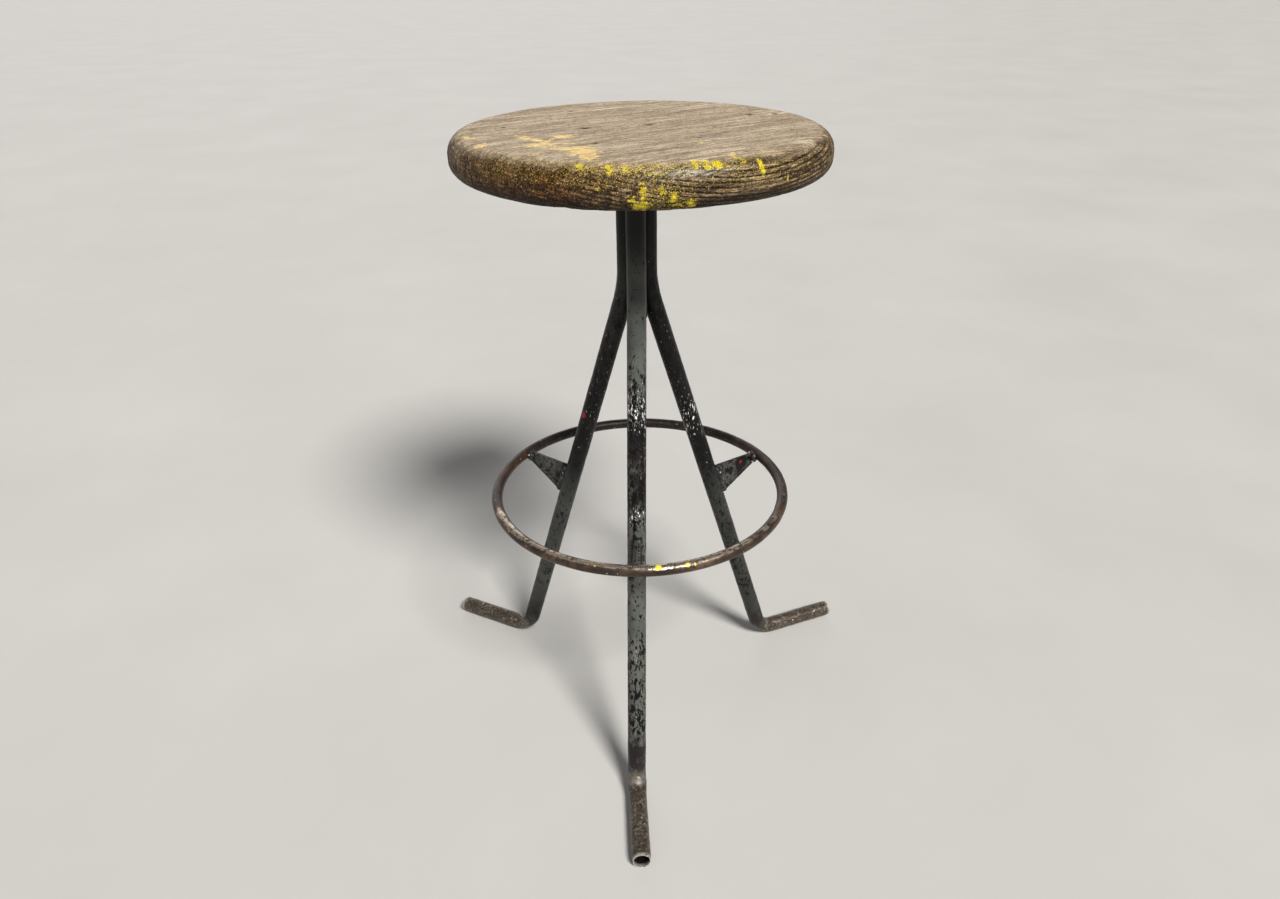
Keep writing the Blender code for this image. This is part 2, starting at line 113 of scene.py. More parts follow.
def ramp(tree, value, stops):
    node = addNode(tree, "ValToRGB", {"Fac": value})
    elements = node.color_ramp.elements
    while len(elements) < len(stops):
        elements.new(0.5)
    for element, (place, colour) in zip(elements, stops):
        element.position = place
        shade = colour if isinstance(colour, tuple) else (colour, colour, colour)
        element.color = (*shade, 1.0)
    return node.outputs["Color"]


def noiseOf(tree, vector, scale, detail=4.0, rough=0.55, warp=0.0):
    return addNode(tree, "TexNoise",
                   {"Vector": vector, "Scale": scale, "Detail": detail, "Roughness": rough,
                    "Distortion": warp}).outputs["Fac"]


def stretched(tree, vector, turn, scale):
    # turned first, then scaled along the turned directions
    level = addNode(tree, "Mapping", {"Vector": vector, "Rotation": turn}).outputs["Vector"]
    return addNode(tree, "VectorMath", {0: level, 1: scale}, operation="MULTIPLY").outputs["Vector"]


def surfaceValue(tree, name):
    return addNode(tree, "Attribute", attribute_name=name).outputs["Fac"]


def objectPlace(tree):
    return addNode(tree, "TexCoord").outputs["Object"]


def newGroup(name, inputs, outputs):
    tree = bpy.data.node_groups.new(name, "ShaderNodeTree")
    for label, value in inputs.items():
        kind = "NodeSocketVector" if value is None else "NodeSocketFloat"
        socket = tree.interface.new_socket(name=label, in_out="INPUT", socket_type=kind)
        if value is not None:
            socket.default_value = value
    for label in outputs:
        tree.interface.new_socket(name=label, in_out="OUTPUT", socket_type="NodeSocketFloat")
    return tree, tree.nodes.new("NodeGroupInput").outputs, tree.nodes.new("NodeGroupOutput").inputs


def maskOf(tree, group, vector, scale, amount, **others):
    # one of the shared effects, with this material's own values
    inputs = {"Vector": vector, "Scale": scale, "Amount": amount, **others}
    return addNode(tree, "Group", inputs, node_tree=group).outputs["Mask"]


def newMaterial(name, fixed):
    material = bpy.data.materials.new(name)
    material.use_nodes = True
    tree = material.node_tree
    shader = tree.nodes["Principled BSDF"]
    for socket, value in fixed.items():
        shader.inputs[socket].default_value = value
    return material, tree, shader


def finishMaterial(tree, shader, colour, roughness, height, strength, distance, metallic=None):
    tree.links.new(colour, shader.inputs["Base Color"])
    tree.links.new(roughness, shader.inputs["Roughness"])
    if metallic is not None:
        tree.links.new(metallic, shader.inputs["Metallic"])
    bump = addNode(tree, "Bump", {"Height": height, "Strength": strength, "Distance": distance})
    tree.links.new(bump.outputs["Normal"], shader.inputs["Normal"])


# shared effects

def buildChipGroup():
    # irregular flakes: Amount 0 leaves none, 1 leaves hardly any cover
    tree, given, result = newGroup("chippedCover",
                                   {"Vector": None, "Scale": 90.0, "Amount": 0.3,
                                    "Softness": 0.03}, ("Mask",))
    flakes = noiseOf(tree, given["Vector"], given["Scale"], 7.0, 0.62, 0.4)
    spots = addNode(tree, "TexVoronoi",
                    {"Vector": given["Vector"], "Scale": given["Scale"],
                     "Randomness": 1.0}).outputs["Distance"]
    worn = minus(tree, flakes, times(tree, spots, 0.10))
    edge = minus(tree, 0.66, times(tree, given["Amount"], 0.30))
    over = minus(tree, worn, edge)
    mask = calc(tree, "DIVIDE", over, given["Softness"], clamp=True)
    tree.links.new(mask, result["Mask"])
    return tree


def buildFleckGroup():
    # small round flecks of random size, in a share of the cells
    tree, given, result = newGroup("flecks", {"Vector": None, "Scale": 300.0, "Amount": 0.3, "Size": 0.3},
                                   ("Mask",))
    cells = addNode(tree, "TexVoronoi",
                    {"Vector": given["Vector"], "Scale": given["Scale"], "Randomness": 1.0})
    chosen = addNode(tree, "SeparateColor", {"Color": cells.outputs["Color"]})
    picked = calc(tree, "LESS_THAN", chosen.outputs["Red"], given["Amount"])
    radius = times(tree, given["Size"], chosen.outputs["Green"])
    inside = minus(tree, radius, cells.outputs["Distance"])
    dot = times(tree, inside, 12.0, clamp=True)
    tree.links.new(times(tree, dot, picked), result["Mask"])
    return tree


def buildGrimeGroup():
    # soft stains with a finer breakup
    tree, given, result = newGroup("grime", {"Vector": None, "Scale": 12.0, "Amount": 0.5}, ("Mask",))
    stains = noiseOf(tree, given["Vector"], given["Scale"], 5.0, 0.6, 0.3)
    fine = noiseOf(tree, given["Vector"], 420.0, 3.0, 0.6)
    both = plus(tree, times(tree, stains, 0.75), times(tree, fine, 0.25))
    low = minus(tree, 0.78, times(tree, given["Amount"], 0.5))
    mask = times(tree, minus(tree, both, low), 5.0, clamp=True)
    tree.links.new(mask, result["Mask"])
    return tree


def buildScratchGroup():
    # thin marks drawn out along the vector's X
    tree, given, result = newGroup("drawnMarks", {"Vector": None, "Scale": 1.0, "Amount": 0.4}, ("Mask",))
    longVector = addNode(tree, "VectorMath", {0: given["Vector"], 1: (40.0, 1100.0, 1100.0)},
                         operation="MULTIPLY").outputs["Vector"]
    lines = noiseOf(tree, longVector, given["Scale"], 3.0, 0.5)
    low = minus(tree, 0.74, times(tree, given["Amount"], 0.3))
    mask = times(tree, minus(tree, lines, low), 8.0, clamp=True)
    tree.links.new(mask, result["Mask"])
    return tree


chipGroup = buildChipGroup()
fleckGroup = buildFleckGroup()
grimeGroup = buildGrimeGroup()
scratchGroup = buildScratchGroup()
print("shared effects ready")


# mesh helpers

def faceOutwards(mesh):
    bm = bmesh.new()
    bm.from_mesh(mesh)
    bmesh.ops.recalc_face_normals(bm, faces=bm.faces)
    bm.to_mesh(mesh)
    bm.free()


def meshObject(name, verts, faces, material, body, replaced=(), smoothAngle=32.0, values=None):
    mesh = bpy.data.meshes.new(name)
    mesh.from_pydata([tuple(v) for v in verts], [], faces)
    for label, numbers in (values or {}).items():
        layer = mesh.attributes.new(label, "FLOAT", "POINT")
        layer.data.foreach_set("value", np.asarray(numbers, np.float32))
    faceOutwards(mesh)
    mesh.shade_smooth()
    mesh.set_sharp_from_angle(angle=math.radians(smoothAngle))
    mesh.materials.append(material)
    piece = bpy.data.objects.new(name, mesh)
    bpy.context.scene.collection.objects.link(piece)
    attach(piece, body)
    if replaced:
        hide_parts(*replaced)
    return piece


def gridFaces(rows, columns, wrapRows=False, first=0):
    # faces between rows of points that each close on themselves
    faces = []
    for row in range(rows if wrapRows else rows - 1):
        near = first + row * columns
        far = first + ((row + 1) % rows) * columns
        for column in range(columns):
            after = (column + 1) % columns
            faces.append((near + column, near + after, far + after, far + column))
    return faces


def cappedFaces(rows, columns):
    # the same with a face over each end
    faces = gridFaces(rows, columns)
    faces.append(tuple(range(columns)))
    faces.append(tuple(range((rows - 1) * columns, rows * columns)))
    return faces


def turned(outline, sides, centre, closed):
    # an (r, z) outline turned about the vertical through centre
    verts = []
    for radius, height in outline:
        for side in range(sides):
            angle = 2 * math.pi * side / sides
            verts.append((centre.x + radius * math.cos(angle), centre.y + radius * math.sin(angle),
                          centre.z + height))
    if closed:
        return verts, gridFaces(len(outline), sides, wrapRows=True)
    return verts, cappedFaces(len(outline), sides)


def rounded(outline, amount, steps=3):
    # each corner of a closed (r, z) outline becomes a short arc
    found = []
    count = len(outline)
    for index in range(count):
        here = Vector(outline[index])
        before = Vector(outline[index - 1]) - here
        after = Vector(outline[(index + 1) % count]) - here
        reach = min(amount, before.length * 0.45, after.length * 0.45)
        start = here + before.normalized() * reach
        end = here + after.normalized() * reach
        for step in range(steps + 1):
            share = step / steps
            point = start * (1 - share) ** 2 + here * 2 * share * (1 - share) + end * share ** 2
            found.append(tuple(point))
    return found


def cutAway(piece, verts, faces):
    # takes a closed shape out of a piece for good
    mesh = bpy.data.meshes.new("cutter")
    mesh.from_pydata(verts, [], faces)
    faceOutwards(mesh)
    cutter = bpy.data.objects.new("cutter", mesh)
    bpy.context.scene.collection.objects.link(cutter)
    modifier = piece.modifiers.new("cut", "BOOLEAN")
    modifier.operation = "DIFFERENCE"
    modifier.solver = "EXACT"
    modifier.object = cutter
    bpy.context.view_layer.update()
    made = bpy.data.meshes.new_from_object(piece.evaluated_get(bpy.context.evaluated_depsgraph_get()))
    piece.modifiers.clear()
    piece.data = made
    bpy.data.objects.remove(cutter)


def cellNoise(points, seed):
    # smooth noise from -1 to 1 on an array of points
    base = np.floor(points).astype(np.int64)
    part = points - base
    ease = part * part * (3 - 2 * part)
    total = np.zeros(len(points))
    for corner in range(8):
        step = np.array([corner & 1, corner >> 1 & 1, corner >> 2 & 1])
        weight = np.prod(np.where(step, ease, 1 - ease), axis=1)
        cell = base + step
        key = cell[:, 0] * 73856093 ^ cell[:, 1] * 19349663 ^ cell[:, 2] * 83492791 ^ seed * 19088743
        key = (key ^ key >> 13) * 60493 & 0xFFFFFFF
        key = (key ^ key >> 11) * 40503 & 0xFFFFFFF
        total += weight * ((key >> 8 & 0xFFFF) / 65535)
    return total * 2 - 1


def turnFrom(start, angle):
    # degrees from one angle to another, -180 to 180
    return (angle - start + 180) % 360 - 180


def smoothRise(value, low, high):
    share = np.clip((value - low) / (high - low), 0, 1)
    return share * share * (3 - 2 * share)


# seat

seat = {
    "roundIn": 0.018, "roundDown": 0.018,       # upper rounding
    "lowerIn": 0.016, "lowerUp": 0.015,         # lower rounding
    "topGrid": 220, "rimRows": 84, "underRows": 14,
    "grainTurn": math.radians(34),              # grain direction on the top, from +X
    "ringSpacing": 0.0038,                      # from one growth ring to the next
    "pithAcross": 0.045, "pithDepth": 0.850,    # where the middle of the log would be
    "knotSwerve": 0.0035,                       # how far the rings swerve round a knot
    "topRelief": 0.00016, "rimRelief": 0.00052, "fineRelief": 0.00006,
    "softDents": 0.00040, "wideDents": 0.00016,
    "bruiseStart": 0.034, "bruiseFull": 0.044, "bruiseDepth": 0.0026,
    "outlineSteps": 400,
    "recessRadius": 0.013, "recessDepth": 0.006,
}

# paint left on the top: x and y from the swivel axis, half length, half width, turn, strength
topPaint = [
    (-0.047, -0.106, 0.020, 0.0075, 0, 1.0), (-0.038, -0.121, 0.013, 0.017, 8, 1.0),
    (-0.031, -0.140, 0.0075, 0.015, 8, 1.1), (-0.077, -0.091, 0.011, 0.009, 20, 0.95),
    (-0.066, -0.087, 0.017, 0.0028, 12, 0.8), (-0.074, -0.080, 0.0035, 0.010, -20, 0.8),
    (-0.097, -0.053, 0.010, 0.0055, -50, 0.85), (-0.087, -0.064, 0.015, 0.0055, -38, 0.9),
    (-0.079, -0.073, 0.009, 0.004, -20, 0.8), (-0.061, -0.053, 0.0095, 0.010, 30, 0.9),
    (-0.054, -0.046, 0.006, 0.004, 30, 0.7), (-0.068, -0.064, 0.010, 0.0028, 55, 0.7),
    (-0.146, -0.054, 0.012, 0.005, -38, 0.75), (-0.153, -0.047, 0.006, 0.003, -30, 0.6),
    (-0.126, -0.090, 0.0042, 0.009, -8, 1.1), (0.059, -0.086, 0.010, 0.004, 20, 0.62),
    (0.064, -0.093, 0.004, 0.008, 0, 0.55), (-0.073, -0.131, 0.006, 0.010, 0, 0.55),
    (0.082, -0.133, 0.0035, 0.010, -15, 0.8), (0.058, -0.155, 0.005, 0.004, 0, 0.8),
    (0.108, -0.118, 0.003, 0.004, 0, 0.7), (0.066, 0.130, 0.018, 0.006, 20, 0.34),
]
# paint on the rim: angle, way down from the start of the rounding, half width, half height, strength
rimPaint = [
    (-67.7, 0.0100, 0.0050, 0.0046, 1.15), (-70.4, 0.0125, 0.0034, 0.0030, 1.0),
    (-73.6, 0.0060, 0.0026, 0.0070, 1.0), (-96.4, 0.0095, 0.0034, 0.0066, 0.9),
    (-104.3, 0.0105, 0.0030, 0.0040, 0.85), (-54.9, 0.0165, 0.0030, 0.0075, 1.0),
    (-59.7, 0.0085, 0.0032, 0.0046, 0.8), (-61.5, 0.0040, 0.0034, 0.0030, 0.8),
    (-45.9, 0.0040, 0.0016, 0.0042, 0.75), (-92.0, 0.0100, 0.0040, 0.0040, 0.7),
    (-88.0, 0.0430, 0.0072, 0.0070, 0.92), (-87.6, 0.0300, 0.0030, 0.0080, 0.66),
    (-79.9, 0.0350, 0.0038, 0.0050, 0.80), (-82.6, 0.0300, 0.0034, 0.0034, 0.74),
    (-75.1, 0.0430, 0.0050, 0.0066, 0.90), (-79.0, 0.0440, 0.0056, 0.0026, 0.74),
    (-99.0, 0.0280, 0.0018, 0.0030, 0.8), (-45.9, 0.0300, 0.0014, 0.0044, 0.7),
    (-144.2, 0.0040, 0.0030, 0.0050, 0.8), (-31.0, 0.0120, 0.0020, 0.0060, 0.6),
    (-84.5, 0.0190, 0.0070, 0.0060, 0.5), (-90.5, 0.0360, 0.0040, 0.0040, 0.6),
]
# knots and dents on the top: x and y from the swivel axis, radius, depth
topPits = [
    (-0.0453, -0.0077, 0.0042, 0.0015), (0.0133, 0.0086, 0.0034, 0.0012), (-0.0298, -0.0842, 0.0022, 0.0009),
    (0.1345, 0.0678, 0.0026, 0.0009), (0.1098, 0.0632, 0.0030, 0.0008), (0.0580, -0.0595, 0.0022, 0.0006),
    (-0.1215, -0.0030, 0.0020, 0.0007), (-0.0680, 0.0890, 0.0020, 0.0006), (0.0730, -0.0070, 0.0018, 0.0005),
]
crack = {"angle": -141.0, "top": 0.027, "bottom": 0.046, "halfWidth": 0.0009, "depth": 0.0026,
         "waver": 0.0008}


def seatProfile(radius, thick):
    # (r, z, outward r, outward z, way down) from the edge of the flat top to the edge of the flat underside
    steps = seat["outlineSteps"]
    points = []
    for step in range(steps + 1):
        angle = math.pi / 2 * (1 - step / steps)
        points.append((radius - seat["roundIn"] + seat["roundIn"] * math.cos(angle),
                       thick - seat["roundDown"] + seat["roundDown"] * math.sin(angle)))
    for step in range(steps + 1):
        angle = -math.pi / 2 * step / steps
        points.append((radius - seat["lowerIn"] + seat["lowerIn"] * math.cos(angle),
                       seat["lowerUp"] + seat["lowerUp"] * math.sin(angle)))
    points = np.array(points)
    way = np.concatenate([[0], np.cumsum(np.linalg.norm(np.diff(points, axis=0), axis=1))])
    even = np.linspace(0, way[-1], seat["rimRows"] + 1)
    r = np.interp(even, way, points[:, 0])
    z = np.interp(even, way, points[:, 1])
    dr, dz = np.gradient(r), np.gradient(z)
    length = np.hypot(dr, dz)
    return r, z, -dz / length, dr / length, even


def ellipses(first, second, marks, rimRadius=0.0):
    # highest cover that any elliptical mark gives each point; on the rim the first place is in degrees
    cover = np.zeros(len(first))
    for a, b, halfA, halfB, turn, strength in marks:
        c, s = math.cos(math.radians(turn)), math.sin(math.radians(turn))
        u, v = first - a, second - b
        if rimRadius:
            u = np.radians(turnFrom(a, first)) * rimRadius
        along, across = u * c + v * s, v * c - u * s
        far = np.sqrt((along / halfA) ** 2 + (across / halfB) ** 2)
        cover = np.maximum(cover, strength * (1 - smoothRise(far, 0.15, 1.9)))
    return cover


def seatShape(radius, thick):
    # points, outward directions, way down from the start of the rounding, angle, faces, the rim's length
    count = seat["topGrid"]
    around = 4 * count
    flat = radius - seat["roundIn"]

    # flat top: a square grid eased into a disc, so there is no pole in the middle
    line = np.linspace(-1, 1, count + 1)
    u, v = np.meshgrid(line, line, indexing="ij")
    topX = (u * np.sqrt(1 - v * v / 2) * flat).ravel()
    topY = (v * np.sqrt(1 - u * u / 2) * flat).ravel()
    at = np.arange((count + 1) ** 2).reshape(count + 1, count + 1)
    faces = [tuple(int(i) for i in quad)
             for quad in np.stack([at[:-1, :-1], at[1:, :-1], at[1:, 1:], at[:-1, 1:]],
                                  axis=-1).reshape(-1, 4)]
    edge = np.concatenate([at[:-1, 0], at[-1, :-1], at[:0:-1, -1], at[0, :0:-1]])
    edgeAngle = np.arctan2(topY[edge], topX[edge])

    # rim, underside and the recess for the spindle's head, as rows round the edge
    r, z, outR, outZ, down = seatProfile(radius, thick)
    under = np.linspace(r[-1], seat["recessRadius"], seat["underRows"] + 1)[1:]
    end = down[-1]
    rows = [(r[i], z[i], outR[i], outZ[i], down[i]) for i in range(1, len(r))]
    rows += [(value, 0.0, 0.0, -1.0, end + r[-1] - value) for value in under]
    rows += [(seat["recessRadius"], seat["recessDepth"], 0.0, -1.0, end + 0.2),
             (seat["recessRadius"] * 0.1, seat["recessDepth"], 0.0, -1.0, end + 0.2)]
    rows = np.array(rows)
    rimR, rimZ, rimOutR, rimOutZ, rimDown = (np.repeat(rows[:, i], around) for i in range(5))
    rimAngle = np.tile(edgeAngle, len(rows))

    base = np.empty((len(topX) + len(rimR), 3))
    base[:len(topX)] = np.stack([topX, topY, np.full_like(topX, thick)], axis=1)
    base[len(topX):] = np.stack([rimR * np.cos(rimAngle), rimR * np.sin(rimAngle), rimZ], axis=1)
    normal = np.zeros_like(base)
    normal[:len(topX), 2] = 1
    normal[len(topX):] = np.stack([rimOutR * np.cos(rimAngle), rimOutR * np.sin(rimAngle), rimOutZ], axis=1)
    way = np.concatenate([np.hypot(topX, topY) - flat, rimDown])
    angle = np.degrees(np.concatenate([np.arctan2(topY, topX), rimAngle]))

    first = len(topX)
    for column in range(around):
        after = (column + 1) % around
        faces.append((int(edge[column]), int(edge[after]), first + after, first + column))
    faces += gridFaces(len(rows), around, first=first)
    faces.append(tuple(range(first + (len(rows) - 1) * around, first + len(rows) * around)))
    return base, normal, way, angle, faces, end


def growthRings(base, thick):
    # rings round a log that lies along the grain, and each point's place in the grain's own directions
    c, s = math.cos(seat["grainTurn"]), math.sin(seat["grainTurn"])
    along = base[:, 0] * c + base[:, 1] * s
    across = base[:, 1] * c - base[:, 0] * s
    height = base[:, 2] - thick
    grain = np.stack([along, across, height], axis=1)
    depth = seat["pithDepth"] + along * 0.02
    distance = np.hypot(across - seat["pithAcross"], height + depth)
    distance += 0.0036 * cellNoise(grain * (4, 12, 8), 1) + 0.0011 * cellNoise(grain * (11, 42, 14), 2)
    distance += 0.00030 * cellNoise(grain * (40, 190, 60), 3)
    # rings swerve round the two knots
    for x, y, size, pitDepth in topPits[:2]:
        kx, ky = x * c + y * s, y * c - x * s
        near = np.exp(-((along - kx) / 0.020) ** 2 - ((across - ky) / 0.008) ** 2)
        distance += near * seat["knotSwerve"]
    return distance / seat["ringSpacing"], grain


def seatWear(base, x, y, way, angle, end, radius, thick):
    # where paint, dirt and wear lie, for the material
    onTop = smoothRise(base[:, 2], thick * 0.75, thick * 0.92)
    onRim = [(place, drop, wide, tall, 0, strength) for place, drop, wide, tall, strength in rimPaint]
    paint = np.maximum(ellipses(x, y, topPaint) * onTop, ellipses(angle, way, onRim, radius))
    arc = np.exp(-((angle + 84) / 34) ** 4)
    splash = 0.50 * arc * np.exp(-((way - 0.011) / 0.013) ** 2)
    lowSplash = 0.42 * np.exp(-((angle + 82) / 12) ** 2) * smoothRise(way, 0.012, 0.03)
    lowSplash *= 1 - smoothRise(way, end - 0.006, end)
    highSplash = 0.34 * np.exp(-((angle + 88) / 66) ** 4) * smoothRise(way, -0.02, 0.006)
    highSplash *= 1 - smoothRise(way, 0.022, 0.042)
    splash = np.maximum(np.maximum(splash, lowSplash), highSplash)
    dirt = smoothRise(way + 0.003 * cellNoise(base * 60, 10), 0.001, 0.017)
    # painted shade: the lower rounding and the underside are painted near-black
    underRimShade = smoothRise(way + 0.004 * cellNoise(base * (40, 40, 100), 11), 0.031, 0.046)
    redArc = np.exp(-((angle + 121) / 25) ** 4) * smoothRise(way, 0.002, 0.012)
    redArc *= 0.75 + 0.25 * cellNoise(base * 45, 12)
    # a patch of painted sheen on the front rim, where the wood is also rubbed smooth
    rubbedWithPaintedSheen = np.exp(-((angle + 75) / 9) ** 2 - ((way - 0.0155) / 0.0045) ** 2)
    return {"paintCover": paint, "paintSplash": splash, "rimDirt": dirt, "underRimShade": underRimShade,
            "redStain": redArc, "rubbedWithPaintedSheen": rubbedWithPaintedSheen}


def buildSeat(material):
    low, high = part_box("seat")
    centre = (low + high) / 2
    radius = (high.x - low.x) / 2
    thick = high.z - low.z
    base, normal, way, angle, faces, end = seatShape(radius, thick)
    rings, grain = growthRings(base, thick)
    part = rings % 1
    late = smoothRise(part, 0.35, 0.80) * (1 - smoothRise(part, 0.90, 1.0))

    topShare = 1 - smoothRise(way, -0.004, 0.014)
    # the grooves run clean where the rim lies along the grain, and are choked on the end grain
    sideways = np.abs(np.sin(np.radians(angle) - seat["grainTurn"])) ** 1.5
    groove = (1 - topShare) * (0.30 + 0.70 * sideways)
    groove *= 1 - smoothRise(way, end - 0.004, end + 0.004)
    groove *= 0.75 + 0.25 * cellNoise(grain * (22, 90, 90), 4)
    relief = seat["topRelief"] * topShare * (late - 1) + seat["rimRelief"] * groove * (late - 1)
    relief += seat["fineRelief"] * cellNoise(grain * (160, 900, 900), 5) - seat["fineRelief"]
    relief += seat["softDents"] * (cellNoise(base * 14, 6) - 1) * smoothRise(way, -0.02, 0.01)
    relief += seat["wideDents"] * (cellNoise(base * 9, 7) - 1)
    # bruises and splinters lost along the lower edge
    bruise = np.clip(cellNoise(base * (90, 90, 150), 8) - 0.45, 0, 1)
    bruise *= smoothRise(way, seat["bruiseStart"], seat["bruiseFull"])
    relief -= seat["bruiseDepth"] * bruise * (1 - smoothRise(way, end, end + 0.006))
    x, y = base[:, 0] + centre.x - axis.x, base[:, 1] + centre.y - axis.y
    pits = np.zeros(len(base))
    for px, py, size, pitDepth in topPits:
        near = np.exp(-((x - px) ** 2 + (y - py) ** 2) / size ** 2) * (base[:, 2] > thick * 0.8)
        relief -= near * pitDepth
        pits = np.maximum(pits, near)
    offset = turnFrom(crack["angle"], angle) / 180 * math.pi * radius
    offset += crack["waver"] * cellNoise(base * 260, 9)
    split = np.exp(-(offset / crack["halfWidth"]) ** 2)
    split *= smoothRise(way, crack["top"], crack["top"] + 0.004)
    split *= 1 - smoothRise(way, crack["bottom"], crack["bottom"] + 0.003)
    relief -= split * crack["depth"]
    relief[way > end + 0.15] = 0
    verts = base + normal * np.minimum(relief, 0)[:, None]
    verts += np.array([centre.x, centre.y, low.z])

    values = {"ringCount": rings, **seatWear(base, x, y, way, angle, end, radius, thick),
              "deepMark": np.maximum(pits, split), "grooveDepth": np.clip(groove, 0, 1)}
    return meshObject("seat_wood", verts, faces, material, "seat", ("seat",), 60.0, values)


woodColours = {
    "bleached": [(0.20, (0.130, 0.086, 0.048)), (0.40, (0.270, 0.198, 0.120)),
                 (0.54, (0.405, 0.315, 0.205)), (0.78, (0.70, 0.585, 0.425))],
    "softRing": (0.165, 0.108, 0.060), "blotch": (0.33, 0.255, 0.165), "pore": (0.12, 0.084, 0.056),
    "darkDash": (0.095, 0.062, 0.036), "paleDash": (0.66, 0.565, 0.425),
    "rim": [(0.28, (0.014, 0.008, 0.003)), (0.46, (0.090, 0.056, 0.024)),
            (0.62, (0.225, 0.148, 0.072)), (0.82, (0.50, 0.370, 0.215))],
    "red": [(0.32, (0.006, 0.002, 0.001)), (0.50, (0.050, 0.018, 0.004)), (0.78, (0.235, 0.098, 0.028))],
    "furrow": (0.006, 0.004, 0.002), "rimDash": (0.012, 0.007, 0.004), "smear": (0.024, 0.013, 0.006),
    "dust": (0.52, 0.44, 0.32), "underRimShadeColour": (0.0075, 0.0050, 0.0035), "rubbedWithPaintedSheen": (0.42, 0.42, 0.44),
    "deep": (0.020, 0.013, 0.008),
    "freshYellow": ((0.26, 0.215, 0.010), (0.86, 0.65, 0.040)),
    "fadedYellow": ((0.42, 0.26, 0.070), (0.88, 0.64, 0.235)),
}


